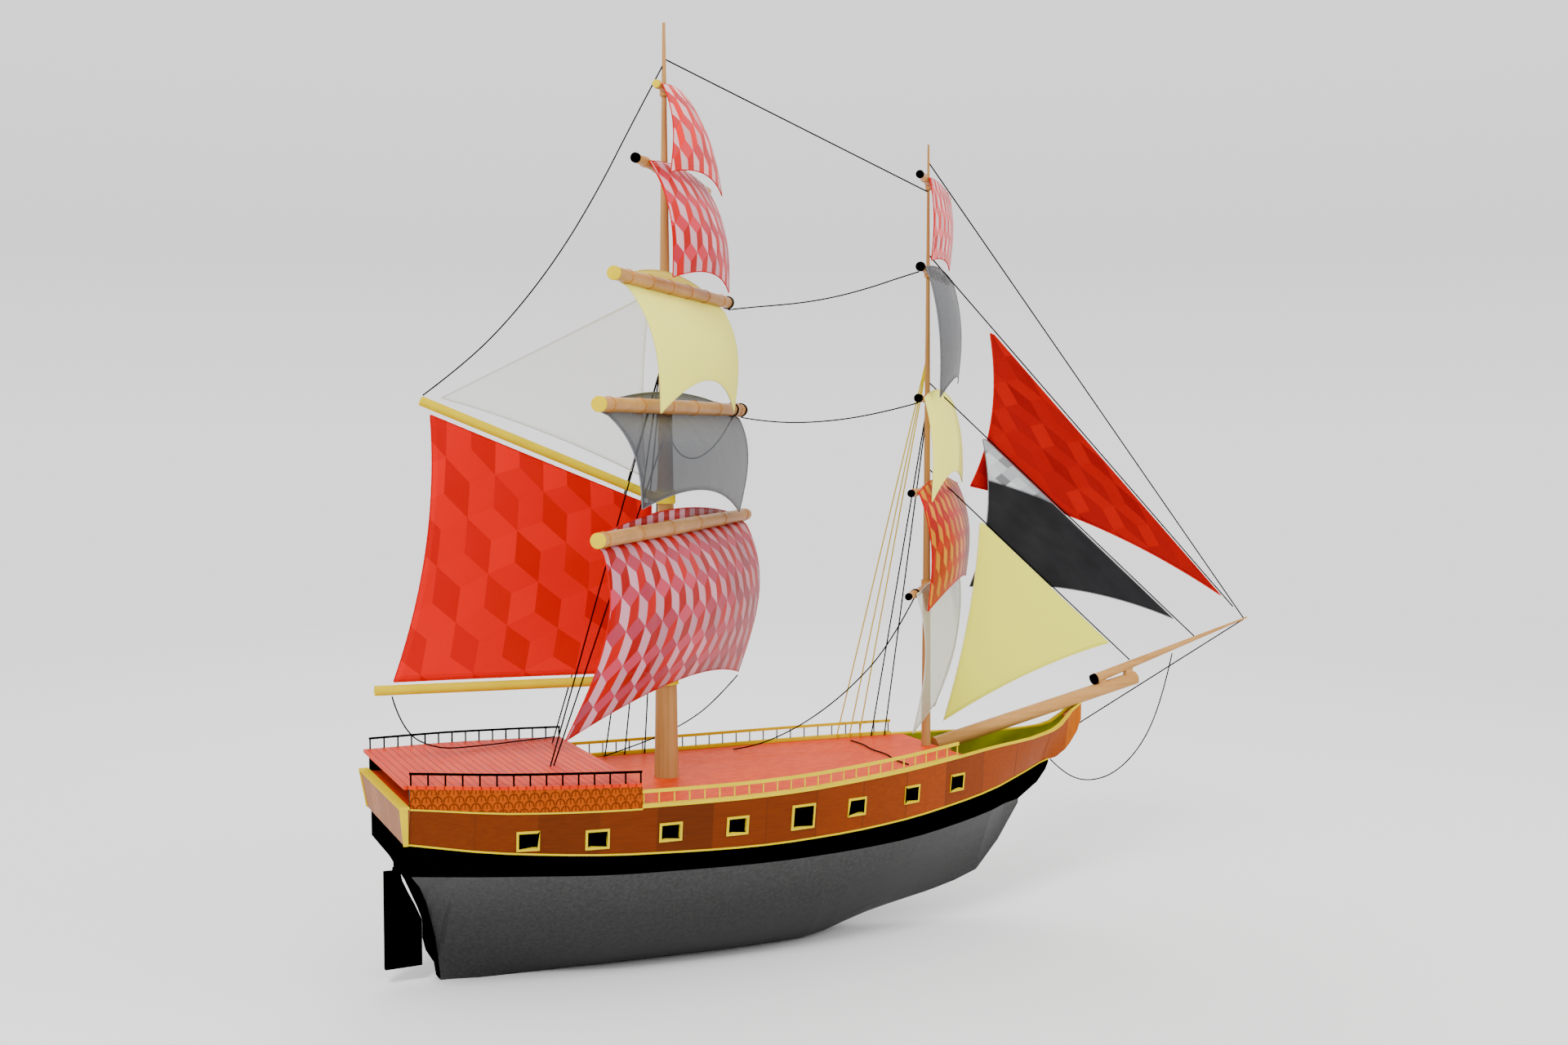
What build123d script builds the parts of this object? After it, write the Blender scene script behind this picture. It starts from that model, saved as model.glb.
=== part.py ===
"""Model sailing ship: a two-masted square rigger with a spanker and three jibs.

Millimetres. +X is the bow, +Y port, +Z up. The origin is on the main mast's axis,
level with the underside of the flat keel.
"""
from build123d import *
import math
import os

os.makedirs("parts", exist_ok=True)

# ---- Hull lines: (x, half breadth, height), from the stern forward -----------------
CAP_LINE = [(-186, 65.2, 125.5), (-119, 82.5, 120.6), (-48, 88.5, 118.3), (12, 89, 117.8),
            (60, 86, 118.3), (85, 82.3, 119.1), (139, 71, 121.2), (196, 53, 124),
            (234, 38, 125.7), (270, 24, 126.2), (298, 13, 129), (308, 9, 132),
            (314, 6.8, 136), (320, 4.6, 141), (329.7, 2.2, 146)]
WALE_TOP_LINE = [(-186, 59.2, 102), (-130, 76, 95), (-50, 85, 88.8), (38, 83.5, 85.6),
                 (87, 78, 86), (141, 67, 87.8), (202, 47.5, 92.2), (236, 34.5, 96),
                 (272, 16, 101.5), (302, 2, 106.3), (310, 2, 108.1), (317.6, 2, 114.3),
                 (326.2, 2, 125.4), (329.7, 2, 134.5)]
WALE_BOTTOM_LINE = [(-186, 58.8, 83), (-129, 70, 79.6), (-48, 78, 75), (41, 77, 72.6),
                    (90, 72, 72.4), (144, 61, 72.8), (205, 41, 76), (238, 25.5, 78),
                    (277, 2, 79), (291.3, 2, 90), (298.4, 2, 98.6), (302, 2, 106.3)]
TUCK_LINE = [(-183.7, 58, 82), (-176.5, 45, 72.4), (-169.4, 30, 58.7), (-163.8, 18, 43.1),
             (-160.1, 12, 30.6), (-157, 6, 15.1), (-155, 4, 0)]
KEEL_LINE = TUCK_LINE + [(-130, 9, 0), (-60, 12, 0), (95, 12, 0), (124, 8, 5),
                         (150, 6, 10.5), (177, 4.5, 15.2), (203, 3.5, 19.7),
                         (242.4, 2.2, 31.2), (257.8, 2, 50), (268.2, 2, 65.7), (277, 2, 79)]
# Section fullness: half breadth grows as (height above keel) to this power.
FULLNESS = [(-184, 1.0), (-155, 1.6), (-110, 1.0), (-50, 0.6), (40, 0.5), (110, 0.62),
            (180, 0.9), (240, 1.2), (277, 1.3)]
STERN_X = -186
BREAK_X = -48            # fore end of the quarterdeck
WELL_X = 204             # fore end of the main deck, where the open bow well starts
WAIST_END_X = 196        # fore end of the waist rails
NOSE_X = 316             # aft face of the solid stem head
BOW_X = 329.7
FRAME_SPACING = 18.5     # hull frames, each side plank bends here

# ---- Planking and decks -------------------------------------------------------------
SIDE_PLANK = 4.0
LINING = 0.8
DECK = 2.5
QUARTERDECK = 2.2
QUARTERDECK_AFT = (-189.5, 139.6)
QUARTERDECK_FORE = (-48.0, 133.8)
QUARTERDECK_WALL = 2.5
TRANSOM_TOP_X = -191.7
TRANSOM_BOTTOM_X = -188.2

# ---- Rails ---------------------------------------------------------------------------
QUARTERDECK_RAIL_HEIGHT = 7.7
QUARTERDECK_POSTS = 15
WAIST_RAIL_HEIGHT = 11.0
WAIST_POSTS = 25
SILL_HEIGHT = 2.2

# ---- Gun ports: (x, height of centre, width, height) ----------------------------------
GUN_PORTS = [(-118, 102.7, 14.0, 12.6), (-76, 100.9, 15.0, 12.6), (-29, 101.4, 15.0, 12.2),
             (16, 101.0, 15.0, 12.4), (63, 101.8, 17.4, 16.6), (105, 103.1, 14.6, 12.4),
             (152, 105.2, 13.6, 12.4), (195, 107.0, 14.0, 12.4)]
PORT_FRAME = 1.4
PORT_FRAME_PROUD = 0.7

# ---- Spars -----------------------------------------------------------------------------
FORE_MAST_X = 198.5
MAIN_MAST = [(112.0, 8.2), (118.4, 8.15), (455.0, 3.25), (618.4, 1.0)]
FORE_MAST = [(117.0, 3.45), (123.5, 3.4), (400.0, 1.75), (552.3, 0.75)]
MAST_HEEL_DEPTH = 18.0
MAST_HEEL_RADIUS = {"main_mast": 5.0, "fore_mast": 2.6}
BOWSPRIT = [(206, 124.0, 5.5), (379.6, 162.4, 5.0)]
JIB_BOOM = [(341, 163.1, 3.75), (484.9, 203.9, 0.6)]
YARD_ANGLE = 52.0        # yards are braced this far from the ship's centre line
PARREL_GAP = 0.06        # running clearance of a yard's collar on its mast
PARREL_WALL = 1.2
PARREL_HEIGHT = 4.0
YARD_TAPER = 0.88

# name: (mast x, height, half length, radius)
YARDS = {
    "main_royal": (0, 572.5, 32, 2.6),
    "main_topgallant": (0, 518.5, 78, 3.3),
    "main_upper_topsail": (0, 443.7, 125, 4.6),
    "main_lower_topsail": (0, 365.7, 156, 5.0),
    "main_course": (0, 287.0, 162, 5.0),
    "fore_royal": (FORE_MAST_X, 522.4, 64, 2.8),
    "fore_topgallant": (FORE_MAST_X, 460.9, 65, 2.8),
    "fore_upper_topsail": (FORE_MAST_X, 372.2, 72, 2.5),
    "fore_lower_topsail": (FORE_MAST_X, 309.1, 100, 2.6),
    "fore_course": (FORE_MAST_X, 241.8, 110, 2.5),
}
# name: (half head, starboard foot corner, port foot corner, belly, foot arch), with each
# corner (distance along the yard, distance ahead of the mast, height)
SQUARE_SAILS = {
    "main_royal": (29, (-58, 23, 512), (58, 23, 512), 7, 7),
    "main_topgallant": (62, (-64, 26, 446), (64, 26, 446), 10, 8),
    "main_upper_topsail": (104, (-83, 24, 361), (98, 20, 363), 12, 22),
    "main_lower_topsail": (144, (-128, 27, 304), (112, 20, 291), 11, 14),
    "main_course": (157, (-150, -14, 167.5), (120, 17, 173), 21, 16),
    "fore_royal": (46, (-41, 9, 467), (41, 9, 467), 4, 4),
    "fore_topgallant": (60, (-45, 16, 373), (50, 14.5, 385), 7, 9),
    "fore_upper_topsail": (64, (-65, 14, 302), (65, 16, 312), 5, 14),
    "fore_lower_topsail": (90, (-80, 14, 229.5), (80, 17, 240.5), 9, 8),
    "fore_course": (96, (-50, -1, 141), (50, -2, 144), 11, 10),
}
FOOT_SWELL = 0.6         # how far the middle of a foot swells, as a part of the belly
SAIL_THICKNESS = 1.0
HEAD_GAP = 0.7           # from the front of a yard to the middle of the sail
SAIL_COLUMNS = 8
SAIL_ROWS = 8

BOOM = [(-193.6, 187.7), (-12.0, 184.5)]
BOOM_RADIUS = 3.2
GAFF = [(-162.9, 369.1), (-8.0, 306.3)]
GAFF_RADIUS = 3.1

# ---- Rudder -----------------------------------------------------------------------------
RUDDER_PROFILE = [(-189.6, 10), (-166.2, 10.6), (-166.2, 40), (-170.5, 50), (-174.5, 58),
                  (-178.2, 66), (-179.6, 72.7), (-189.6, 72.7)]
RUDDER_THICKNESS = 4.0
STOCK_X = -182.0
STOCK_RADIUS = 1.5
STOCK_GAP = 0.06
STOCK_FOOT = 58.0
STOCK_TOP = 90.0

# ---- Rigging ------------------------------------------------------------------------------
LINE_DIAMETER = 1.0


def along(line, x, column):
    """Value of a hull line at x, on a monotone cubic through its points."""
    xs = [point[0] for point in line]
    ys = [point[column] for point in line]
    if x <= xs[0]:
        return ys[0]
    if x >= xs[-1]:
        return ys[-1]
    chords = [(ys[i + 1] - ys[i]) / (xs[i + 1] - xs[i]) for i in range(len(xs) - 1)]

    def slope(i):
        if i in (0, len(xs) - 1):
            return chords[min(i, len(chords) - 1)]
        before, after = chords[i - 1], chords[i]
        return 0.0 if before * after <= 0 else 2 * before * after / (before + after)

    i = max(k for k in range(len(xs) - 1) if xs[k] <= x)
    run = xs[i + 1] - xs[i]
    t = (x - xs[i]) / run
    return (ys[i] * (1 + 2 * t) * (1 - t) ** 2 + ys[i + 1] * t * t * (3 - 2 * t)
            + slope(i) * run * t * (1 - t) ** 2 - slope(i + 1) * run * t * t * (1 - t))


def cap(x):
    return along(CAP_LINE, x, 1), along(CAP_LINE, x, 2)


def wale_top(x):
    return along(WALE_TOP_LINE, x, 1), along(WALE_TOP_LINE, x, 2)


def wale_bottom(x):
    return along(WALE_BOTTOM_LINE, x, 1), along(WALE_BOTTOM_LINE, x, 2)


def keel(x):
    return along(KEEL_LINE, x, 1), along(KEEL_LINE, x, 2)


def inner_top(x):
    half, height = cap(x)
    return half - min(SIDE_PLANK, 0.45 * half), height


def inner_bottom(x):
    half, height = wale_top(x)
    return half - min(SIDE_PLANK, 0.45 * half), height


def inner_at(x, height):
    """Half breadth of the side plank's inner face at a height."""
    (low, z_low), (high, z_high) = inner_bottom(x), inner_top(x)
    return low + (high - low) * (height - z_low) / (z_high - z_low)


def outer_at(x, height):
    (low, z_low), (high, z_high) = wale_top(x), cap(x)
    return low + (high - low) * (height - z_low) / (z_high - z_low)


def quarterdeck_top(x):
    (x0, z0), (x1, z1) = QUARTERDECK_AFT, QUARTERDECK_FORE
    return z0 + (z1 - z0) * (x - x0) / (x1 - x0)


def frames():
    """The x of every hull frame, closer at the tuck and at the stem."""
    extra = [p[0] for p in TUCK_LINE] + [STERN_X, BREAK_X - QUARTERDECK_WALL, BREAK_X]
    extra += [WAIST_END_X, WELL_X, 275, 291.3, 298.4, 301, 308, NOSE_X, 320, 326.2, BOW_X]
    regular = [STERN_X + FRAME_SPACING * k for k in range(2, 26)]
    regular = [x for x in regular if min(abs(x - e) for e in extra) > 3]
    return sorted(extra + regular)


FRAMES = frames()


def frames_between(x0, x1):
    return [x for x in FRAMES if x0 - 0.01 <= x <= x1 + 0.01]


def strake(outline, x0, x1):
    """A ruled solid through the outline of each frame from x0 to x1."""
    wires = []
    for x in frames_between(x0, x1):
        wires.append(Wire.make_polygon([Vector(x, y, z) for y, z in outline(x)]))
    return Solid.make_loft(wires, ruled=True)


def both_sides(half):
    """A closed outline from one side's points, listed bottom to top."""
    return half + [(-y, z) for y, z in reversed(half)]


def mirrored(solid):
    return [solid, solid.mirror(Plane.XZ)]


def save(node, *solids):
    parts = []
    for solid in solids:
        parts.extend(solid.solids())
    shape = parts[0] if len(parts) == 1 else Compound(children=parts)
    export_step(shape, f"parts/{node}.step")


# ---- Hull -------------------------------------------------------------------------------
def lower_hull_outline(x):
    foot, low = keel(x)
    half, high = wale_bottom(x)
    power = along([(p[0], p[1]) for p in FULLNESS], x, 1)
    points = []
    for k in range(9):
        t = (k / 8) ** 2
        points.append((foot + (half - foot) * t ** power, low + (high - low) * t))
    return both_sides(points)


def stock_bore():
    height = 20.0
    return Solid.make_cylinder(STOCK_RADIUS + STOCK_GAP, height,
                               Plane((STOCK_X, 0, STOCK_TOP + 0.5 - height)))


def tuck_plate():
    """Thin facing over the stern below the wale, from the wale down to the heel."""
    thickness = 1.2
    line = TUCK_LINE[:-1] + [(-155.2, 4.2, 1.5)]
    wires = []
    for k, (x, half, z) in enumerate(line):
        x0, _, z0 = line[max(k - 1, 0)]
        x1, _, z1 = line[min(k + 1, len(line) - 1)]
        run = math.hypot(x1 - x0, z1 - z0)
        dx, dz = thickness * (z1 - z0) / run, -thickness * (x1 - x0) / run
        wires.append(Wire.make_polygon([Vector(x, half, z), Vector(x, -half, z),
                                        Vector(x + dx, -half, z + dz),
                                        Vector(x + dx, half, z + dz)]))
    return Solid.make_loft(wires, ruled=True)


def profile_plate(points, thickness):
    """A flat plate on the centre plane with the given (x, z) outline."""
    half = thickness / 2
    outline = Wire.make_polygon([Vector(x, half, z) for x, z in points])
    return Solid.extrude(Face(outline), Vector(0, -thickness, 0))


def side_plank_outline(x):
    return [wale_top(x), cap(x), inner_top(x), inner_bottom(x)]


def port_plane(x, z):
    """Plane on the side plank's outer face at a gun port, facing out to port."""
    step = 4.0
    here = Vector(x, outer_at(x, z), z)
    along_hull = Vector(x + step, outer_at(x + step, z), z) - here
    up_hull = Vector(x, outer_at(x, z + step), z + step) - here
    outward = up_hull.cross(along_hull)
    return Plane(origin=here, x_dir=along_hull, z_dir=outward)


def gun_port_block(port, width, height, inside, outside):
    plane = port_plane(port[0], port[1])
    plane = Plane(origin=plane.origin - plane.z_dir * inside, x_dir=plane.x_dir,
                  z_dir=plane.z_dir)
    face = plane * Rectangle(width, height)
    return Solid.extrude(face.face(), plane.z_dir * (inside + outside))


def make_gun_ports():
    """Frame rings and dark backs for the port side, and the blocks they fill."""
    rings, backs, cuts = [], [], []
    for port in GUN_PORTS:
        width, height = port[2], port[3]
        inner_width, inner_height = width - 2 * PORT_FRAME, height - 2 * PORT_FRAME
        cuts.append(gun_port_block(port, width, height, 8, 4))
        ring = gun_port_block(port, width, height, 3.0, PORT_FRAME_PROUD)
        ring = ring.cut(gun_port_block(port, inner_width, inner_height, 8, 4))
        rings.append(ring)
        backs.append(gun_port_block(port, inner_width, inner_height, 3.0, -2.0))
    return rings, backs, cuts


def make_hull():
    bore = stock_bore()
    tuck = tuck_plate()
    hull = strake(lower_hull_outline, TUCK_LINE[0][0], 275)
    post = profile_plate([(-153, 11), (-159.2, 12), (-163.3, 18.8), (-165.3, 27),
                          (-165.3, 44), (-156, 44)], 4.2)
    save("stern_timbers", post.cut(hull, tuck), tuck.cut(bore))
    save("lower_hull", hull.cut(bore))
    wale = strake(lambda x: both_sides([wale_bottom(x), wale_top(x)]), STERN_X, 301)
    save("wale", wale.cut(bore))

    rings, backs, cuts = make_gun_ports()
    plank = strake(side_plank_outline, STERN_X, NOSE_X).cut(*cuts)
    save("side_planking", *mirrored(plank))
    save("gun_ports", *[s for piece in rings + backs for s in mirrored(piece)])

    core = strake(lambda x: both_sides([inner_bottom(x), deck_underside(x)]), STERN_X, WELL_X)
    deck = strake(lambda x: both_sides([deck_underside(x), inner_top(x)]), STERN_X, WELL_X)
    heels = [mast_heel("main_mast"), mast_heel("fore_mast")]
    save("hull_core", core.cut(*heels))
    save("main_deck", deck.cut(*heels))
    save("bow_lining", strake(bow_lining_outline, WELL_X, NOSE_X))
    stem = strake(lambda x: both_sides([wale_top(x), cap(x)]), NOSE_X, BOW_X)
    save("stem_head", stem.cut(make_bowsprit()))
    save("transom", make_transom())


def deck_underside(x):
    height = cap(x)[1] - DECK
    return inner_at(x, height), height


def bow_lining_outline(x):
    low, high = inner_bottom(x)[1], inner_top(x)[1]
    floor = low + 0.4 * (high - low)
    return both_sides([inner_bottom(x), inner_top(x), (inner_top(x)[0] - LINING, high),
                       (inner_at(x, floor) - LINING, floor)])


def make_transom():
    (high_half, high), (low_half, low) = cap(STERN_X), wale_top(STERN_X)
    wires = []
    for top_x, bottom_x in ((STERN_X, STERN_X), (TRANSOM_TOP_X, TRANSOM_BOTTOM_X)):
        corners = [(bottom_x, low_half, low), (top_x, high_half, high),
                   (top_x, -high_half, high), (bottom_x, -low_half, low)]
        wires.append(Wire.make_polygon([Vector(*corner) for corner in corners]))
    return Solid.make_loft(wires, ruled=True)


def box(x0, x1, y0, y1, z0, z1):
    return Solid.make_box(x1 - x0, y1 - y0, z1 - z0, Plane((x0, y0, z0)))


def transom_mouldings():
    """Moulding along the transom's top edge and down its two side edges."""
    width = 1.5
    (high_half, high), (low_half, low) = cap(STERN_X), wale_top(STERN_X)
    top = box(TRANSOM_TOP_X - 0.8, STERN_X - 0.5, -high_half - width, high_half + width,
              high, high + 1.3)
    sides = []
    for x0, x1, half, z in ((TRANSOM_TOP_X - 0.8, -187.5, high_half, high),
                            (TRANSOM_BOTTOM_X - 0.8, -186.2, low_half, low)):
        sides.append(Wire.make_polygon([Vector(x0, half, z), Vector(x1, half, z),
                                        Vector(x1, half + width, z),
                                        Vector(x0, half + width, z)]))
    side = Solid.make_loft(sides, ruled=True)
    return [top] + mirrored(side)


def make_trims():
    def wale_strip(x):
        half, low = wale_top(x)
        top = low + 1.1
        return [(half, low), (outer_at(x, top), top), (outer_at(x, top) + 0.5, top),
                (half + 0.5, low)]

    def sheer_strip(x):
        half, height = cap(x)
        low = height - 1.0
        return [(outer_at(x, low), low), (half, height), (half + 0.4, height),
                (outer_at(x, low) + 0.4, low)]

    def cap_strip(x):
        half, height = cap(x)
        top = height + 0.9 + 0.9 * max(0, x - 290) / (BOW_X - 290)
        return [(half + 0.4, height), (half + 0.4, top), (inner_top(x)[0], top),
                (inner_top(x)[0], height)]

    bow_cap = strake(cap_strip, WAIST_END_X, BOW_X).cut(make_bowsprit())
    strips = [strake(wale_strip, STERN_X, 301), strake(sheer_strip, STERN_X, BREAK_X), bow_cap]
    save("hull_trims", *transom_mouldings(), *[s for strip in strips for s in mirrored(strip)])


# ---- Quarterdeck and rails ------------------------------------------------------------------
def make_quarterdeck():
    def wall(x):
        half, low = cap(x)
        high = quarterdeck_top(x) - QUARTERDECK
        inner = half - QUARTERDECK_WALL
        return [(half, low), (half, high), (inner, high), (inner, low)]

    def bulkhead(x):
        half, low = cap(x)
        inner = half - QUARTERDECK_WALL
        return both_sides([(inner, low), (inner, quarterdeck_top(x) - QUARTERDECK)])

    def plate(x):
        half = cap(x)[0]
        top = quarterdeck_top(x)
        return both_sides([(half, top - QUARTERDECK), (half, top)])

    front = strake(bulkhead, BREAK_X - QUARTERDECK_WALL, BREAK_X)
    save("quarterdeck_walls", front, *mirrored(strake(wall, STERN_X, BREAK_X)))
    overhang = [Wire.make_polygon([Vector(x, y, z) for y, z in plate(x)])
                for x in [QUARTERDECK_AFT[0]] + frames_between(STERN_X, BREAK_X)]
    save("quarterdeck", Solid.make_loft(overhang, ruled=True))


def rail_strip(base, inner, outer, low, high):
    """Outline of a rail that follows the hull's edge, at these heights over its base."""
    def outline(x):
        half = cap(x)[0]
        return [(half - inner, base(x) + low), (half - inner, base(x) + high),
                (half - outer, base(x) + high), (half - outer, base(x) + low)]
    return outline


def waist_base(x):
    return cap(x)[1]


def posts(x0, x1, count, inset, radius, low, high, base):
    made = []
    for k in range(count):
        x = x0 + (x1 - x0) * k / (count - 1)
        place = Plane((x, cap(x)[0] - inset, base(x) + low))
        made.append(Solid.make_cylinder(radius, high - low, place))
    return made


def make_rails():
    top = QUARTERDECK_RAIL_HEIGHT
    rail = strake(rail_strip(quarterdeck_top, 1.6, 0.1, top - 1.3, top), STERN_X, BREAK_X)
    uprights = posts(STERN_X + 0.8, BREAK_X - 0.8, QUARTERDECK_POSTS, 0.85, 0.55, 0.0,
                     top - 1.0, quarterdeck_top)
    save("quarterdeck_rails", *mirrored(rail.fuse(*uprights)))

    start, end = BREAK_X, WAIST_END_X
    sill = strake(rail_strip(waist_base, 3.6, -0.4, 0.0, SILL_HEIGHT), start, end)
    top_rail = rail_strip(waist_base, 2.6, 0.6, WAIST_RAIL_HEIGHT - 1.9, WAIST_RAIL_HEIGHT)
    rail = strake(top_rail, start, end)
    uprights = posts(start + 1.2, end - 1.2, WAIST_POSTS, 1.6, 0.5, SILL_HEIGHT - 0.3,
                     WAIST_RAIL_HEIGHT - 1.5, waist_base)
    save("waist_rails", *mirrored(sill.fuse(rail, *uprights)))


# ---- Spars ---------------------------------------------------------------------------------
def turned(profile, x, grow=0.0):
    """A round spar standing at x, turned to its (height, radius) profile."""
    points = [(0, profile[0][0])] + [(r + grow, z) for z, r in profile] + [(0, profile[-1][0])]
    outline = Wire.make_polygon([Vector(r, 0, z) for r, z in points])
    return Solid.revolve(Face(outline), 360, Axis.Z).moved(Location((x, 0, 0)))


MASTS = {"main_mast": (MAIN_MAST, 0.0), "fore_mast": (FORE_MAST, FORE_MAST_X)}


def mast_radius(profile, height):
    for (z0, r0), (z1, r1) in zip(profile, profile[1:]):
        if z0 <= height <= z1:
            return r0 + (r1 - r0) * (height - z0) / (z1 - z0)
    return profile[-1][1]


def mast_heel(name):
    """The tenon of a mast, and so the hole it stands in."""
    profile, x = MASTS[name]
    deck = profile[1][0]
    radius = MAST_HEEL_RADIUS[name]
    return Solid.make_cylinder(radius, MAST_HEEL_DEPTH + 8, Plane((x, 0, deck - MAST_HEEL_DEPTH)))


def make_masts():
    for name, (profile, x) in MASTS.items():
        shaft = turned([(cap(x)[1], profile[1][1])] + profile[2:], x)
        save(name, shaft.fuse(mast_heel(name)))


def spar(start, end, start_radius, end_radius):
    start, end = Vector(*start), Vector(*end)
    axis = end - start
    place = Plane(origin=start, z_dir=axis)
    if start_radius == end_radius:
        return Solid.make_cylinder(start_radius, axis.length, place)
    return Solid.make_cone(start_radius, end_radius, axis.length, place)


def make_bowsprit():
    (x0, z0, r0), (x1, z1, r1) = BOWSPRIT
    return spar((x0, 0, z0), (x1, 0, z1), r0, r1)


def make_jib_boom():
    (x0, z0, r0), (x1, z1, r1) = JIB_BOOM
    return spar((x0, 0, z0), (x1, 0, z1), r0, r1)


def axis_height(ends, x):
    (x0, z0, _), (x1, z1, _) = ends
    return z0 + (z1 - z0) * (x - x0) / (x1 - x0)


def make_head_spars():
    bowsprit, jib_boom = make_bowsprit(), make_jib_boom()
    save("bowsprit", bowsprit)
    save("jib_boom", jib_boom)
    chocks = []
    for x in (349.0, 373.0):
        block = box(x - 3, x + 3, -2.2, 2.2, axis_height(BOWSPRIT, x), axis_height(JIB_BOOM, x))
        chocks.append(block.cut(bowsprit, jib_boom))
    x = 212.0
    low, high = inner_bottom(x)[1], inner_top(x)[1]
    floor = low + 0.42 * (high - low)
    step = box(WELL_X + 2.5, x + 5, -4, 4, floor, axis_height(BOWSPRIT, x))
    save("head_chocks", step.cut(bowsprit), *chocks)


def brace_point(mast_x, along_yard, ahead, height):
    """A point given along the braced yard's direction and ahead of the mast."""
    angle = math.radians(YARD_ANGLE)
    return Vector(mast_x + along_yard * math.cos(angle) + ahead * math.sin(angle),
                  along_yard * math.sin(angle) - ahead * math.cos(angle), height)


def yard_offset(name):
    mast_x, height, _, radius = YARDS[name]
    profile = MAIN_MAST if mast_x == 0 else FORE_MAST
    return mast_radius(profile, height) + radius + PARREL_WALL - 0.4


def collar(profile, x, height, tall):
    radius = mast_radius(profile, height) + PARREL_WALL
    return Solid.make_cylinder(radius, tall, Plane((x, 0, height - tall / 2)))


def make_yard(name):
    mast_x, height, half, radius = YARDS[name]
    profile = MAIN_MAST if mast_x == 0 else FORE_MAST
    ahead = yard_offset(name)
    middle = brace_point(mast_x, 0, ahead, height)
    ends = [brace_point(mast_x, side * half, ahead, height) for side in (-1, 1)]
    arms = [spar(middle, end, radius, radius * YARD_TAPER) for end in ends]
    ring = collar(profile, mast_x, height, PARREL_HEIGHT)
    body = arms[0].fuse(arms[1], ring)
    return body.cut(turned(profile, mast_x, PARREL_GAP))


# ---- Sails ----------------------------------------------------------------------------------
def thick_sheet(grid):
    """A closed solid around a grid of points, SAIL_THICKNESS thick."""
    rows, columns = len(grid), len(grid[0])

    def normal(i, j):
        down = grid[min(i + 1, rows - 1)][j] - grid[max(i - 1, 0)][j]
        across = grid[i][min(j + 1, columns - 1)] - grid[i][max(j - 1, 0)]
        return down.cross(across).normalized()

    shift = SAIL_THICKNESS / 2
    front = [[grid[i][j] + normal(i, j) * shift for j in range(columns)] for i in range(rows)]
    back = [[grid[i][j] - normal(i, j) * shift for j in range(columns)] for i in range(rows)]
    faces = []

    def quad(a, b, c, d):
        for triangle in ((a, b, c), (a, c, d)):
            faces.append(Face(Wire.make_polygon(list(triangle))))

    for side in (front, back):
        for i in range(rows - 1):
            for j in range(columns - 1):
                quad(side[i][j], side[i][j + 1], side[i + 1][j + 1], side[i + 1][j])
    for i in range(rows - 1):
        for j in (0, columns - 1):
            quad(front[i][j], front[i + 1][j], back[i + 1][j], back[i][j])
    for j in range(columns - 1):
        for i in (0, rows - 1):
            quad(front[i][j], front[i][j + 1], back[i][j + 1], back[i][j])
    return Solid(Shell(faces))


def square_sail(name):
    mast_x, yard_height, _, radius = YARDS[name]
    half, starboard, port, belly, arch = SQUARE_SAILS[name]
    head_ahead = yard_offset(name) + radius + HEAD_GAP
    grid = []
    for i in range(SAIL_ROWS + 1):
        v = i / SAIL_ROWS
        row = []
        for j in range(SAIL_COLUMNS + 1):
            u = -1 + 2 * j / SAIL_COLUMNS
            side = [starboard[k] + (port[k] - starboard[k]) * (u + 1) / 2 for k in range(3)]
            s = half * u * (1 - v) + side[0] * v
            ahead = head_ahead * (1 - v) + side[1] * v
            ahead += belly * math.sin(math.pi * v ** 0.85) * (1 - 0.35 * u * u)
            ahead += FOOT_SWELL * belly * v * (1 - u * u)
            z = yard_height * (1 - v) + side[2] * v + arch * v * v * (1 - u * u)
            row.append(brace_point(mast_x, s, ahead, z))
        grid.append(row)
    return thick_sheet(grid)


def stay_sail(head, tack, clew, belly, hollow):
    """A three-cornered sail: luff from head to tack, leech to the clew, hollow foot."""
    head, tack, clew = Vector(*head), Vector(*tack), Vector(*clew)
    grid = []
    for i in range(SAIL_ROWS + 1):
        v = 0.02 + 0.98 * i / SAIL_ROWS
        luff = head + (tack - head) * v
        leech = head + (clew - head) * v
        leech = leech + (tack - clew).normalized() * hollow * 4 * v * (1 - v)
        row = []
        for j in range(SAIL_COLUMNS + 1):
            u = j / SAIL_COLUMNS
            point = luff + (leech - luff) * u
            point = point + Vector(0, belly * 4 * u * (1 - u) * v * (1.3 - v), 0)
            point = point + Vector(0, 0, hollow * 4 * u * (1 - u) * v ** 3)
            row.append(point)
        grid.append(row)
    return thick_sheet(grid)


def four_corner_sail(throat, peak, clew, tack, belly, hollow):
    """A gaff sail, laced along its head and spread by the boom below."""
    throat, peak, clew, tack = (Vector(*p) for p in (throat, peak, clew, tack))
    grid = []
    for i in range(SAIL_ROWS + 1):
        v = i / SAIL_ROWS
        luff = throat + (tack - throat) * v
        leech = peak + (clew - peak) * v + Vector(hollow * 4 * v * (1 - v), 0, 0)
        row = []
        for j in range(SAIL_COLUMNS + 1):
            u = j / SAIL_COLUMNS
            swell = belly * math.sin(math.pi * u) * math.sin(math.pi * (0.15 + 0.7 * v))
            row.append(luff + (leech - luff) * u + Vector(0, swell, 0))
        grid.append(row)
    return thick_sheet(grid)


JIBS = {
    "outer_jib": ((249.2, 0, 423.4), (459.5, 0, 221.9), (237.4, 6, 310.0), 3.0, 11.0),
    "inner_jib": ((243.5, 0, 346.6), (414.5, 0, 205.8), (236.0, 3.5, 237.0), 2.5, 10.0),
    "fore_staysail": ((242.4, 0, 285.4), (355.5, 0, 190.2), (213.0, 0, 141.0), -4.0, 6.0),
}


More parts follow.
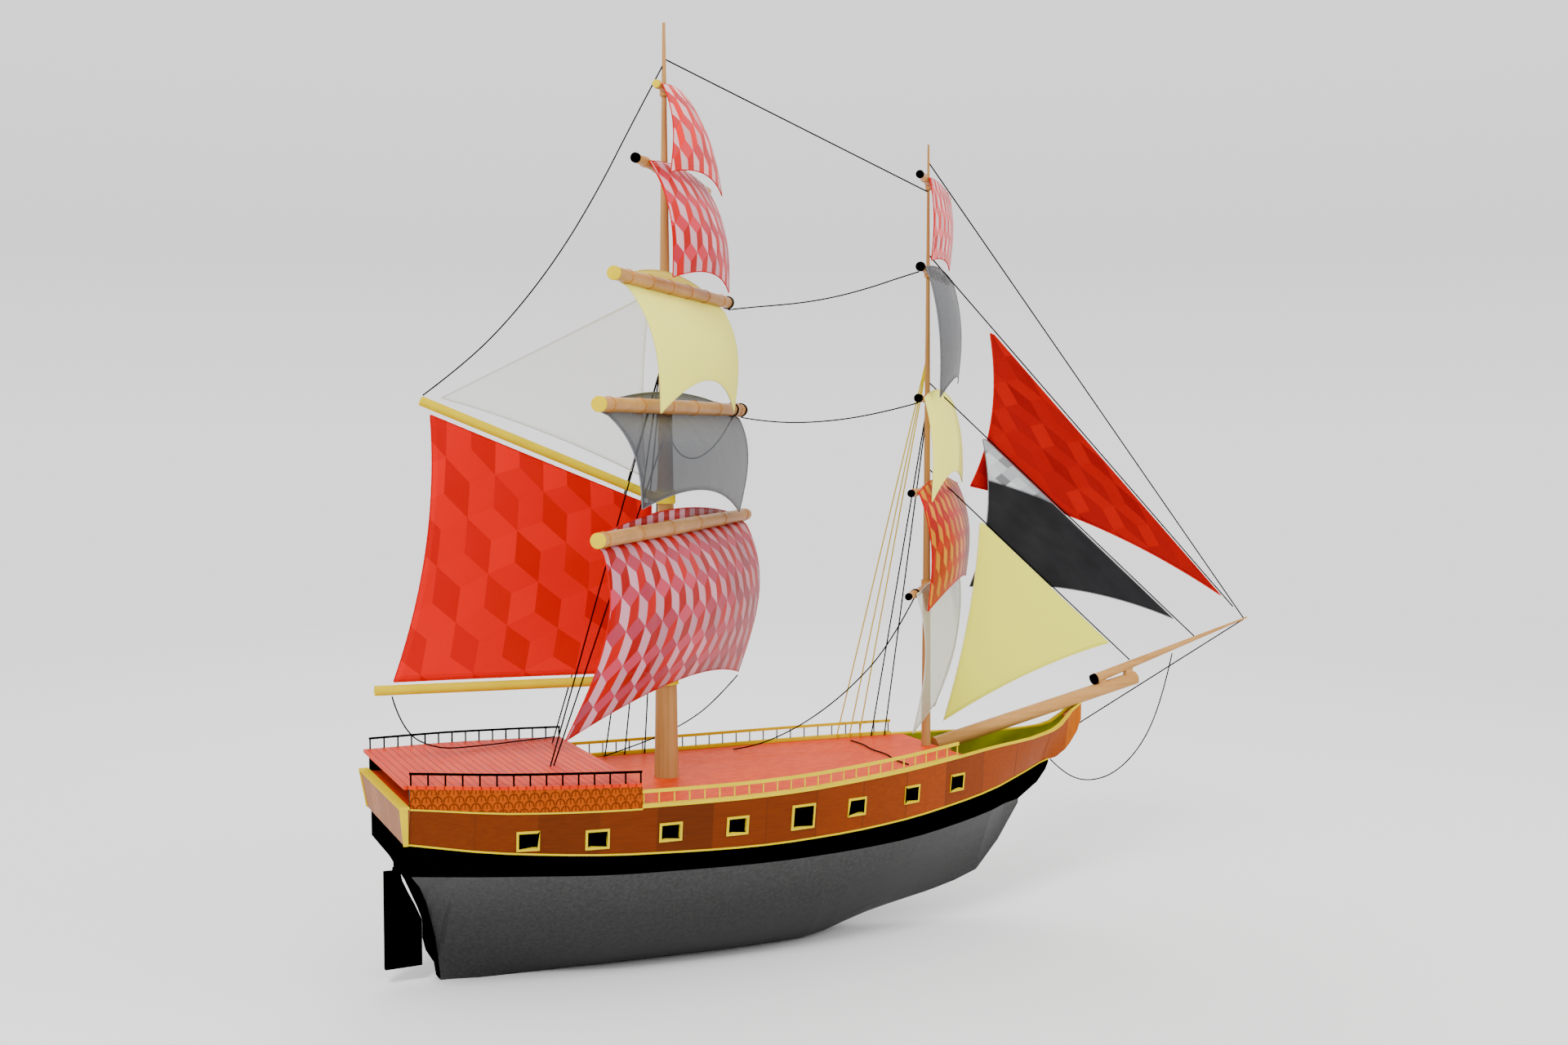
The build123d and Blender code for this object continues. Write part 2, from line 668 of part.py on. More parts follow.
def make_sails():
    for name in YARDS:
        save(f"{name}_yard", make_yard(name))
        save(f"{name}_sail", square_sail(name))
    for name, shape in JIBS.items():
        save(name, stay_sail(*shape))
    save("spanker", four_corner_sail((-10, 0, 300.6), (-157, 0, 360.3), (-182, 0, 192.6),
                                     (-13, 0, 189.6), 4.0, 9.0))
    save("gaff_topsail", stay_sail((-10, 0, 441), (-150, 0, 371), (-14, 0, 319.0), 3.0, 4.0))


def make_boom_and_gaff():
    for name, ends, radius, tall in (("boom", BOOM, BOOM_RADIUS, 8.0),
                                     ("gaff", GAFF, GAFF_RADIUS, 9.0)):
        (x0, z0), (x1, z1) = ends
        pole = spar((x0, 0, z0), (x1 + 6, 0, z1 + 6 * (z1 - z0) / (x1 - x0)), radius, radius)
        ring = collar(MAIN_MAST, 0, z1, tall)
        save(name, pole.fuse(ring).cut(turned(MAIN_MAST, 0, PARREL_GAP)))


# ---- Rudder -----------------------------------------------------------------------------------
def make_rudder():
    blade = profile_plate(RUDDER_PROFILE, RUDDER_THICKNESS)
    collar_top = 74.8
    foot = Plane((STOCK_X, 0, STOCK_FOOT))
    stock = Solid.make_cylinder(STOCK_RADIUS, STOCK_TOP - STOCK_FOOT, foot)
    ring = Solid.make_cylinder(2.25, collar_top - 72.7, Plane((STOCK_X, 0, 72.7)))
    save("rudder_blade", blade.cut(stock))
    save("rudder_stock", stock.fuse(ring))


# ---- Rigging -----------------------------------------------------------------------------------
def taut(start, end):
    radius = LINE_DIAMETER / 2
    return spar(start, end, radius, radius)


MAIN_TOP = 595.0
TAUT_LINES = {
    "stays": [
        ((0, 0, MAIN_TOP), (FORE_MAST_X, 0, 519.0)),
        ((FORE_MAST_X, 0, 540.0), (481.5, 0, 203.4)),
        ((FORE_MAST_X, 0, 475.5), (471.0, 0, 212.9)),
        ((FORE_MAST_X, 0, 385.6), (434.0, 0, 191.6)),
        ((FORE_MAST_X, 0, 324.2), (374.2, 0, 176.4)),
        ((325.0, 0, 129.0), (481.5, 0, 202.5)),
    ],
    "shrouds": [
        ((0, 0, 414.0), (-16.0, 84.0, 118.0)),
        ((0, 0, 411.0), (-1.0, 84.5, 118.0)),
        ((0, 0, 408.0), (14.0, 84.0, 118.0)),
        ((0, -2.6, 405.0), (-87.0, -21.5, 135.0)),
        ((0, -3.4, 352.0), (-84.0, -19.0, 135.0)),
        ((0, 0, 402.0), (-61.0, 63.0, 134.0)),
        ((FORE_MAST_X, 0, 404.0), (155.7, 60.5, 121.0)),
        ((FORE_MAST_X, 0, 402.0), (165.0, 58.0, 121.0)),
        ((FORE_MAST_X, 0, 400.0), (172.0, 55.5, 121.5)),
        ((FORE_MAST_X, 0, 368.5), (181.0, 53.0, 122.0)),
        ((FORE_MAST_X, 0, 366.0), (190.5, 50.0, 122.0)),
    ],
}

# Slack lines: the points each one turns at, in order.
SLACK_LINES = {
    "gaff_peak_line": [(-1.2, -0.3, 590.0), (-22, 0, 552), (-45, 0, 508), (-72, 0, 464),
                       (-103, 0, 424), (-134, 0, 393), (-161.5, 0, 372.5)],
    "main_topsail_brace": [(83, 92, 438.7), (92.6, 74.7, 439.6), (104.5, 53, 440),
                           (117.3, 29.9, 441), (130.9, 5.3, 443.9), (144.4, -19.3, 448.9),
                           (154.8, -38.1, 453.9), (162.8, -52.5, 457.3)],
    "main_lower_brace": [(103, 115, 360.2), (112, 87, 356.5), (129, 35, 356),
                         (147, -21, 361.5), (158.8, -58.5, 368.9)],
    "fore_course_brace": [(149, -73, 238.8), (136, -62, 206), (119, -36, 174), (104, -4, 149),
                          (92, 28, 132), (82, 52, 122.5), (75, 64, 119.5)],
    "main_course_sheet": [(86, 82.5, 170.6), (66, 80, 152), (44, 78, 139), (20, 77, 130),
                          (-2, 77.5, 123.5), (-19, 78, 119.2)],
    "main_yard_lift": [(88, 96, 360.2), (73, 81, 345), (54, 59, 335), (35, 35, 330.5),
                       (18, 15.5, 332.5), (8.5, 6, 339.5), (3.4, 2.4, 348)],
    "boom_sheet": [(-183, 0, 183.5), (-176, 4, 160), (-150, 26, 143), (-116, 50, 138.6),
                   (-82, 70, 136.2), (-53, 84.5, 134.7)],
    "jib_boom_line": [(412.6, -1.5, 179.4), (402, -4, 146), (385, -4, 112), (360, -4, 91),
                      (335, -3.5, 86.5), (315, -2.5, 94), (303.2, -1.5, 105.8)],
    "deck_rope": [(160, 44, 122.9), (162, 28, 123.0), (158, 8, 122.8), (160, -14, 122.9),
                  (155, -34, 122.6), (156.4, -52, 122.7)],
}


def slack_line(name):
    """A round line along straight runs joined by arcs as large as the runs allow."""
    points = [Vector(*p) for p in SLACK_LINES[name]]
    radii = []
    for a, b, c in zip(points, points[1:], points[2:]):
        turn = math.radians((b - a).get_angle(c - b))
        radii.append(0.45 * min((b - a).length, (c - b).length) / math.tan(turn / 2))
    path = FilletPolyline(*points, radius=radii)
    section = Plane(origin=points[0], z_dir=points[1] - points[0]) * Circle(LINE_DIAMETER / 2)
    line = sweep(section, path=path)
    volume = math.pi * (LINE_DIAMETER / 2) ** 2 * path.length
    print(name, "length", round(path.length, 1), "volume ratio", round(line.volume / volume, 4),
          "radii", [round(r, 1) for r in radii])
    return line


def make_rigging():
    for name, lines in TAUT_LINES.items():
        save(name, *[taut(start, end) for start, end in lines])
    for name in SLACK_LINES:
        save(name, slack_line(name))


make_hull()
make_trims()
make_quarterdeck()
make_rails()
make_masts()
make_head_spars()
make_boom_and_gaff()
make_sails()
make_rudder()
make_rigging()
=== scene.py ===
"""Blender scene of the model sailing ship: finishes, cloth sails, thread lines and fittings."""

import math

import bpy
import numpy as np
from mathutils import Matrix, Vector


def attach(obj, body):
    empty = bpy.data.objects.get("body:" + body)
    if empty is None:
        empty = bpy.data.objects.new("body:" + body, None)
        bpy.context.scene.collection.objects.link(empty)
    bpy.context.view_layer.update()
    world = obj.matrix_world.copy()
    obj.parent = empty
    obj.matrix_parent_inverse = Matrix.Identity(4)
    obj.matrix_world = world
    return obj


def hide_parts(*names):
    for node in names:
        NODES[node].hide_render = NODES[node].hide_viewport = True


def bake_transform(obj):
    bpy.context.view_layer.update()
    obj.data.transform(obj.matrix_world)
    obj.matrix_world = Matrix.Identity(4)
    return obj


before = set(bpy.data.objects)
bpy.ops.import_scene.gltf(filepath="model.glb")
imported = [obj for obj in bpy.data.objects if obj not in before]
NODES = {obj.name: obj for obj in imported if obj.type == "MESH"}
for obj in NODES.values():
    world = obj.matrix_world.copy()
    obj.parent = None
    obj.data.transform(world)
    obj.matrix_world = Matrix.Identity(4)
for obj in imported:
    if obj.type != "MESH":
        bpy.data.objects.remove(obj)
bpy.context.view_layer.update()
MM = 0.001


# ---- Camera --------------------------------------------------------------------------------
def make_camera():
    data = bpy.data.cameras.new("camera")
    data.lens = 39.4
    data.sensor_width = 36
    data.clip_end = 20
    data.dof.use_dof = False
    camera = bpy.data.objects.new("camera", data)
    camera.location = (-0.39405, -1.07809, 0.35064)
    camera.rotation_euler = (math.radians(86.92), 0, math.radians(-24.03))
    bpy.context.scene.collection.objects.link(camera)
    bpy.context.scene.camera = camera


make_camera()


# ---- Ship's measures, in millimetres, as in the CAD source ---------------------------------
YARD_ANGLE = math.radians(52)
FORE_MAST_X = 198.5
MAIN_MAST = [(118.4, 8.15), (455.0, 3.25), (618.4, 1.0)]
FORE_MAST = [(123.5, 3.4), (400.0, 1.75), (552.3, 0.75)]
# name: height, half length, radius, cap colour, how far the head of the sail rises
YARDS = {
    "main_royal": (572.5, 32, 2.6, "yellow", 3.0),
    "main_topgallant": (518.5, 78, 3.3, "black", 5.0),
    "main_upper_topsail": (443.7, 125, 4.6, "yellow", 11.0),
    "main_lower_topsail": (365.7, 156, 5.0, "yellow", 10.0),
    "main_course": (287.0, 162, 5.0, "yellow", 11.0),
    "fore_royal": (522.4, 64, 2.8, "black", 2.0),
    "fore_topgallant": (460.9, 65, 2.8, "black", 4.0),
    "fore_upper_topsail": (372.2, 72, 2.5, "black", 7.0),
    "fore_lower_topsail": (309.1, 100, 2.6, "black", 8.0),
    "fore_course": (241.8, 110, 2.5, "black", 4.0),
}
# name: half head, starboard foot and port foot as (along, ahead, height), belly, arch
SQUARE_SAILS = {
    "main_royal": (29, (-58, 23, 512), (58, 23, 512), 7, 7),
    "main_topgallant": (62, (-64, 26, 446), (64, 26, 446), 10, 8),
    "main_upper_topsail": (104, (-83, 24, 361), (98, 20, 363), 12, 22),
    "main_lower_topsail": (144, (-128, 27, 304), (112, 20, 291), 11, 14),
    "main_course": (157, (-150, -14, 167.5), (120, 17, 173), 21, 16),
    "fore_royal": (46, (-41, 9, 467), (41, 9, 467), 4, 4),
    "fore_topgallant": (60, (-45, 16, 373), (50, 14.5, 385), 7, 9),
    "fore_upper_topsail": (64, (-65, 14, 302), (65, 16, 312), 5, 14),
    "fore_lower_topsail": (90, (-80, 14, 229.5), (80, 17, 240.5), 9, 8),
    "fore_course": (96, (-50, -1, 141), (50, -2, 144), 11, 10),
}
# name: head, tack, clew, belly, hollow
STAY_SAILS = {
    "outer_jib": ((249.2, 0, 423.4), (459.5, 0, 221.9), (237.4, 6, 310), 3, 11),
    "inner_jib": ((243.5, 0, 346.6), (414.5, 0, 205.8), (236, 3.5, 237), 2.5, 10),
    "fore_staysail": ((242.4, 0, 285.4), (355.5, 0, 190.2), (213, 0, 141), -4, 6),
    "gaff_topsail": ((-10, 0, 441), (-150, 0, 371), (-14, 0, 319), 3, 4),
}
# throat, peak, clew and tack of the spanker
SPANKER = ((-10, 0, 300.6), (-157, 0, 360.3), (-182, 0, 192.6), (-13, 0, 189.6))
SPANKER_BELLY = 4
SPANKER_HOLLOW = 9
JIB_BOOM_HEEL = Vector((341, 0, 163.1))
JIB_BOOM_TIP = Vector((484.9, 0, 203.9))
YARD_TAPER = 0.88        # a yard's radius at its ends, as a share of that at the mast
YARD_GAP = 0.8           # from a mast's side to its yards
HEAD_GAP = 0.7           # from the front of a yard to the middle of the sail
COLLAR_REACH = 9         # no ties nearer to the mast than this, where the yard's collar is
ROBANDS = 6              # ties along the head of each square sail
LINE_DIAMETER = 1.0
# where lines are knotted to yards: line, yard, distance along the yard from the mast
KNOTS = (("main_topsail_brace", "main_upper_topsail", 121),
         ("main_lower_brace", "main_lower_topsail", 151),
         ("main_yard_lift", "main_lower_topsail", 127),
         ("brace", "fore_topgallant", -62),
         ("brace", "fore_upper_topsail", -69.5),
         ("fore_course_brace", "fore_course", -85.5))
# name: route, the bodies it is tied to at its start and at its end
LINES = {
    "gaff_peak_line": ([(-1.2, -0.3, 590), (-22, 0, 552), (-45, 0, 508), (-72, 0, 464),
                        (-103, 0, 424), (-134, 0, 393), (-161.5, 0, 372.5)],
                       "root", "gaff"),
    "main_topsail_brace": ([(83, 92, 438.7), (92.6, 74.7, 439.6), (104.5, 53, 440),
                            (117.3, 29.9, 441), (130.9, 5.3, 443.9), (144.4, -19.3, 448.9),
                            (154.8, -38.1, 453.9), (162.8, -52.5, 457.3)],
                           "main_upper_topsail", "fore_topgallant"),
    "main_lower_brace": ([(103, 115, 360.2), (112, 87, 356.5), (129, 35, 356),
                          (147, -21, 361.5), (158.8, -58.5, 368.9)],
                         "main_lower_topsail", "fore_upper_topsail"),
    "fore_course_brace": ([(149, -73, 238.8), (136, -62, 206), (119, -36, 174),
                           (104, -4, 149), (92, 28, 132), (82, 52, 122.5),
                           (75, 64, 119.5)],
                          "fore_course", "root"),
    "main_course_sheet": ([(86, 82.5, 170.6), (66, 80, 152), (44, 78, 139),
                           (20, 77, 130), (-2, 77.5, 123.5), (-19, 78, 119.2)],
                          "main_course", "root"),
    "main_yard_lift": ([(88, 96, 360.2), (73, 81, 345), (54, 59, 335), (35, 35, 330.5),
                        (18, 15.5, 332.5), (8.5, 6, 339.5), (3.4, 2.4, 348)],
                       "main_lower_topsail", "root"),
    "boom_sheet": ([(-183, 0, 183.5), (-176, 4, 160), (-150, 26, 143), (-116, 50, 138.6),
                    (-82, 70, 136.2), (-53, 84.5, 134.7)],
                   "boom", "root"),
    "jib_boom_line": ([(412.6, -1.5, 179.4), (402, -4, 146), (385, -4, 112),
                       (360, -4, 91), (335, -3.5, 86.5), (315, -2.5, 94),
                       (303.2, -1.5, 105.8)],
                      "root", "root"),
    "deck_rope": ([(160, 44, 122.9), (162, 28, 123), (158, 8, 122.8), (160, -14, 122.9),
                   (155, -34, 122.6), (156.4, -52, 122.7)],
                  "root", "root"),
}


# ---- Shader helpers ------------------------------------------------------------------------
DEPTH = 0.72             # how much darker the pigments are than the colours given for them
STRENGTH = 1.6           # how much more saturated they are than those colours
PANEL = 0.037            # length of a side panel, which is two frames
STERN = 0.186            # from the origin aft to the transom
DECK_LANE = 0.011        # width of a herringbone lane on the main deck
BOARD = 0.0052           # width of a quarterdeck board
TRANSOM_BOARD = 0.0118
LEAF = (0.0062, 0.0046)  # length and height of a leaf on the quarterdeck walls
STRAND = 0.0016          # pitch of the strands of a thread
CLOTH_THREAD = 0.0009    # pitch of the threads of the sailcloth
CLOTH_THICKNESS = 0.0005
BOLT_ROPE_RADIUS = 0.00042
HEM = 0.003


def linear(red, green, blue):
    """A colour given on the 0 to 255 scale, as the shader's own linear values."""
    parts = []
    for part in (red, green, blue):
        part = part / 255
        parts.append(part / 12.92 if part <= 0.04045 else ((part + 0.055) / 1.055) ** 2.4)
    grey = 0.25 * parts[0] + 0.6 * parts[1] + 0.15 * parts[2]
    return (*(DEPTH * max(0.0, grey + (p - grey) * STRENGTH) for p in parts), 1.0)


class Finish:
    """One material, with short calls for the nodes that the finishes here share."""

    def __init__(self, name, roughness=0.5, coat=0.0):
        self.material = bpy.data.materials.new(name)
        self.material.use_nodes = True
        self.nodes = self.material.node_tree.nodes
        self.links = self.material.node_tree.links
        self.shader = self.nodes["Principled BSDF"]
        self.shader.inputs["Roughness"].default_value = roughness
        self.shader.inputs["Coat Weight"].default_value = coat * 0.3
        self.shader.inputs["Specular IOR Level"].default_value = 0.04
        self.heights = []

    def put(self, socket, value):
        if isinstance(value, bpy.types.NodeSocket):
            self.links.new(value, socket)
        elif value is not None:
            socket.default_value = value

    def place(self):
        """Where a point is on the ship, in metres."""
        return self.nodes.new("ShaderNodeTexCoord").outputs["Object"]

    def cloth_place(self):
        """Where a point is on the flat cloth, in metres."""
        return self.nodes.new("ShaderNodeTexCoord").outputs["UV"]

    def normal(self):
        return self.nodes.new("ShaderNodeTexCoord").outputs["Normal"]

    def attribute(self, name):
        node = self.nodes.new("ShaderNodeAttribute")
        node.attribute_name = name
        return node.outputs["Fac"]

    def parts(self, vector):
        node = self.nodes.new("ShaderNodeSeparateXYZ")
        self.put(node.inputs[0], vector)
        return node.outputs

    def turned(self, vector, turn=(0, 0, 0), scale=(1, 1, 1)):
        node = self.nodes.new("ShaderNodeMapping")
        self.put(node.inputs["Vector"], vector)
        node.inputs["Rotation"].default_value = turn
        node.inputs["Scale"].default_value = scale
        return node.outputs[0]

    def math(self, operation, *values):
        node = self.nodes.new("ShaderNodeMath")
        node.operation = operation
        for socket, value in zip(node.inputs, values):
            self.put(socket, value)
        return node.outputs[0]

    def vector(self, operation, *values, output=0):
        node = self.nodes.new("ShaderNodeVectorMath")
        node.operation = operation
        for socket, value in zip(node.inputs, values):
            self.put(socket, value)
        return node.outputs[output]

    def scaled(self, vector, by):
        node = self.nodes.new("ShaderNodeVectorMath")
        node.operation = "SCALE"
        self.put(node.inputs[0], vector)
        node.inputs["Scale"].default_value = by
        return node.outputs[0]

    def noise(self, vector, scale, detail=3.0, rough=0.5):
        node = self.nodes.new("ShaderNodeTexNoise")
        self.put(node.inputs["Vector"], vector)
        node.inputs["Scale"].default_value = scale
        node.inputs["Detail"].default_value = detail
        node.inputs["Roughness"].default_value = rough
        return node.outputs[0]

    def cell(self, vector):
        """A value from 0 to 1 that is the same over one cell."""
        node = self.nodes.new("ShaderNodeTexWhiteNoise")
        node.noise_dimensions = "3D"
        self.put(node.inputs["Vector"], vector)
        return node.outputs["Value"]

    def ramp(self, value, stops, step=False):
        node = self.nodes.new("ShaderNodeValToRGB")
        node.color_ramp.interpolation = "CONSTANT" if step else "LINEAR"
        while len(node.color_ramp.elements) < len(stops):
            node.color_ramp.elements.new(0.5)
        for element, (at, colour) in zip(node.color_ramp.elements, stops):
            element.position = at
            element.color = colour
        self.put(node.inputs[0], value)
        return node.outputs[0]

    def mix(self, share, first, second, way="MIX"):
        node = self.nodes.new("ShaderNodeMix")
        node.data_type = "RGBA"
        node.blend_type = way
        self.put(node.inputs[0], share)
        self.put(node.inputs[6], first)
        self.put(node.inputs[7], second)
        return node.outputs[2]

    def between(self, value, low, high):
        """0 below low and 1 above high, changing evenly between them."""
        node = self.nodes.new("ShaderNodeMapRange")
        self.put(node.inputs["Value"], value)
        node.inputs["From Min"].default_value = low
        node.inputs["From Max"].default_value = high
        return node.outputs[0]

    def groove(self, value, pitch, width):
        """1 in the narrow joint between boards of this pitch, and 0 on the boards."""
        part = self.math("FRACT", self.math("DIVIDE", value, pitch))
        near = self.math("ABSOLUTE", self.math("SUBTRACT", part, 0.5))
        return self.between(near, 0.5 - width / pitch, 0.5)

    def raise_by(self, value, height):
        self.heights.append((value, height))

    def done(self, colour, roughness=None, alpha=None):
        self.put(self.shader.inputs["Base Color"], colour)
        self.put(self.shader.inputs["Roughness"], roughness)
        self.put(self.shader.inputs["Alpha"], alpha)
        last = None
        for value, height in self.heights:
            bump = self.nodes.new("ShaderNodeBump")
            bump.inputs["Distance"].default_value = abs(height)
            bump.inputs["Strength"].default_value = 0.8
            bump.invert = height < 0
            self.put(bump.inputs["Height"], value)
            if last is not None:
                self.put(bump.inputs["Normal"], last)
            last = bump.outputs[0]
        if last is not None:
            self.put(self.shader.inputs["Normal"], last)
        return self.material


# ---- Wood and paint ------------------------------------------------------------------------
def wood(name, dark, light, turn=(0, 0, 0), along=(1, 1, 1), roughness=0.45):
    """Wood whose grain runs along the axis that the scale leaves long."""
    f = Finish(name, roughness, 0.15)
    line = f.turned(f.place(), turn, along)
    broad = f.noise(line, 90, 2.0)
    fine = f.noise(line, 420, 4.0, 0.65)
    grain = f.math("MULTIPLY_ADD", fine, 0.5, f.math("MULTIPLY", broad, 0.5))
    colour = f.ramp(grain, [(0.34, linear(*dark)), (0.62, linear(*light))])
    f.raise_by(fine, 0.00012)
    return f.done(colour, f.between(grain, -0.4, 2.2))


def paint(name, colour, roughness=0.35, wear=0.12, shine=0.04):
    """Brushed paint: even colour, faint streaks and an uneven gloss."""
    f = Finish(name, roughness, shine)
    f.shader.inputs["Specular IOR Level"].default_value = shine
    place = f.place()
    cloud = f.noise(place, 60, 3.0)
    streak = f.noise(f.turned(place, scale=(0.15, 1, 1)), 700, 2.0)
    base = linear(*colour)
    worn = tuple(c * (1 - wear) for c in base[:3]) + (1.0,)
    f.raise_by(streak, 0.00006)
    gloss = f.math("MULTIPLY_ADD", cloud, 0.25, roughness - 0.1)
    return f.done(f.ramp(cloud, [(0.35, worn), (0.6, base)]), gloss)


def grey_hull():
    """Grey bottom paint with a mottled finish, and painted shade that darkens it towards the
    keel.
    """
    f = Finish("grey_hull_paint", 0.5, 0.2)
    place = f.place()
    height = f.parts(place)["Z"]
    # painted shade: the grey darkens from 0.1 m above the keel down to it, where the underside
    # turns away from the light
    base = f.ramp(f.between(height, 0.0, 0.1),
                  [(0.0, linear(54, 54, 54)), (0.45, linear(63, 63, 63)),
                   (1.0, linear(84, 84, 84))])
    mottle = f.noise(place, 420, 5.0, 0.7)
    spots = f.ramp(mottle, [(0.36, (0.76, 0.76, 0.76, 1)), (0.64, (1.16, 1.16, 1.16, 1))])
    f.raise_by(f.noise(place, 900, 2.0), 0.00008)
    return f.done(f.mix(1.0, base, spots, "MULTIPLY"), f.between(mottle, -0.6, 1.5))


def side_planks():
    """Brown varnished panels, each two frames long, paler towards the bow, with each panel
    lighter or darker as painted shading of a flat facet.
    """
    f = Finish("brown_panels", 0.35, 0.3)
    place = f.place()
    x = f.parts(place)["X"]
    panel = f.math("FLOOR", f.math("DIVIDE", f.math("ADD", x, STERN), PANEL))
    node = f.nodes.new("ShaderNodeCombineXYZ")
    f.put(node.inputs[0], panel)
    pick = f.cell(node.outputs[0])
    base = f.ramp(f.between(x, -0.19, 0.33),
                  [(0.0, linear(104, 58, 42)), (0.5, linear(112, 62, 44)),
                   (0.8, linear(138, 78, 52)), (1.0, linear(156, 92, 60))])
    # painted shading: each panel is lightened or darkened at random, standing in for the light on
    # a flat facet
    shade = f.ramp(pick, [(0.0, (0.66, 0.68, 0.7, 1)), (1.0, (1.22, 1.2, 1.16, 1))])
    grain = f.noise(f.turned(place, scale=(0.06, 1, 1)), 700, 4.0, 0.6)
    lines = f.ramp(grain, [(0.35, (0.86, 0.86, 0.86, 1)), (0.65, (1.06, 1.06, 1.06, 1))])
    colour = f.mix(1.0, f.mix(1.0, base, shade, "MULTIPLY"), lines, "MULTIPLY")
    seam = f.groove(f.math("ADD", x, STERN), PANEL, 0.0006)
    f.raise_by(seam, -0.0002)
    f.raise_by(grain, 0.00008)
    return f.done(f.mix(seam, colour, linear(92, 52, 38)), f.between(grain, -0.6, 2.0))


def deck_weave():
    """Orange deck laid in a fine herringbone with pale flecks."""
    f = Finish("main_deck_planks", 0.5, 0.1)
    place = f.place()
    x, y, z = f.parts(place)
    lane = f.math("FRACT", f.math("DIVIDE", y, DECK_LANE))
    fold = f.math("MULTIPLY", f.math("ABSOLUTE", f.math("SUBTRACT", lane, 0.5)), DECK_LANE)
    slant = f.math("ADD", x, fold)
    joint = f.groove(slant, 0.0026, 0.0007)
    fleck = f.noise(place, 1300, 1.0)
    plank = f.cell(f.vector("FLOOR", f.vector("DIVIDE", place, (0.0052, 0.0055, 1.0))))
    base = f.ramp(plank, [(0.0, linear(192, 84, 28)), (1.0, linear(208, 98, 36))])
    pale = f.math("MULTIPLY", joint, f.between(fleck, 0.42, 0.58))
    f.raise_by(joint, -0.00015)
    return f.done(f.mix(pale, base, linear(222, 138, 62)), f.between(fleck, -0.8, 1.6))


def deck_boards():
    """Orange quarterdeck boards lying across the ship, with dark joints."""
    f = Finish("quarterdeck_boards", 0.45, 0.1)
    place = f.place()
    x, y, z = f.parts(place)
    joint = f.groove(x, BOARD, 0.0008)
    board = f.cell(f.vector("FLOOR", f.vector("DIVIDE", place, (BOARD, 0.06, 1.0))))
    base = f.ramp(board, [(0.0, linear(196, 84, 30)), (1.0, linear(210, 98, 38))])
    grain = f.noise(f.turned(place, scale=(1, 0.06, 1)), 900, 3.0)
    tone = f.ramp(grain, [(0.3, (0.9, 0.9, 0.9, 1)), (0.7, (1.05, 1.05, 1.05, 1))])
    f.raise_by(joint, -0.0002)
    f.raise_by(grain, 0.00006)
    return f.done(f.mix(joint, f.mix(1.0, base, tone, "MULTIPLY"), linear(136, 56, 22)),
                  f.between(grain, -0.8, 1.8))


def carved_wall():
    """Orange-brown wall with rows of scalloped leaves outside, and near black on its inner faces.
    """
    f = Finish("carved_quarterdeck_wall", 0.5, 0.1)
    place = f.place()
    x, y, z = f.parts(place)
    row = f.math("DIVIDE", z, LEAF[1])
    odd = f.math("MULTIPLY", f.math("FLOORED_MODULO", f.math("FLOOR", row), 2.0), 0.5)
    column = f.math("ADD", f.math("DIVIDE", x, LEAF[0]), odd)
    across = f.math("SUBTRACT", f.math("FRACT", column), 0.5)
    up = f.math("SUBTRACT", f.math("FRACT", row), 0.15)
    reach = f.math("ADD", f.math("MULTIPLY", across, across),
                   f.math("MULTIPLY", f.math("MULTIPLY", up, up), 0.45))
    edge = f.math("ABSOLUTE", f.math("SUBTRACT", f.math("SQRT", reach), 0.4))
    line = f.math("SUBTRACT", 1.0, f.between(edge, 0.03, 0.1))
    rib = f.math("SUBTRACT", 1.0, f.between(f.math("ABSOLUTE", across), 0.02, 0.07))
    dark = f.math("MAXIMUM", line, rib)
    leaf = f.mix(dark, linear(150, 84, 50), linear(54, 30, 20))
    # the faces turned in towards the ship's middle are near black
    turned_out = f.math("MULTIPLY", f.parts(f.normal())["Y"], f.math("SIGN", y))
    outside = f.between(turned_out, 0.3, 0.5)
    tone = f.noise(place, 160, 3.0)
    leaf = f.mix(f.math("MULTIPLY", tone, 0.3), leaf, linear(206, 118, 70))
    f.raise_by(dark, -0.0003)
    return f.done(f.mix(outside, linear(16, 14, 13), leaf), f.between(tone, -0.6, 1.6))


def transom_boards():
    """Pinkish brown upright transom boards."""
    f = Finish("transom_boards", 0.45, 0.15)
    place = f.place()
    x, y, z = f.parts(place)
    joint = f.groove(y, TRANSOM_BOARD, 0.0005)
    board = f.cell(f.vector("FLOOR", f.vector("DIVIDE", place, (1.0, TRANSOM_BOARD, 1.0))))
    base = f.ramp(board, [(0.0, linear(146, 104, 82)), (1.0, linear(168, 122, 98))])
    grain = f.noise(f.turned(place, scale=(1, 1, 0.08)), 600, 4.0)
    tone = f.ramp(grain, [(0.3, (0.88, 0.88, 0.88, 1)), (0.7, (1.05, 1.05, 1.05, 1))])
    f.raise_by(joint, -0.0002)
    return f.done(f.mix(joint, f.mix(1.0, base, tone, "MULTIPLY"), linear(104, 62, 42)),
                  f.between(grain, -0.6, 1.7))


def thread(name, colour):
    """Laid thread, with its strands winding round it."""
    f = Finish(name, 0.75)
    place = f.place()
    x, y, z = f.parts(place)
    run = f.math("ADD", f.math("ADD", x, y), z)
    twist = f.math("SINE", f.math("MULTIPLY", run, 2 * math.pi / STRAND))
    fuzz = f.noise(place, 2500, 2.0)
    base = linear(*colour)
    pale = tuple(min(1.0, c * 1.5 + 0.004) for c in base[:3]) + (1.0,)
    f.raise_by(twist, 0.0001)
    return f.done(f.mix(f.math("MULTIPLY", fuzz, 0.5), base, pale), f.between(fuzz, -2, 1.2))


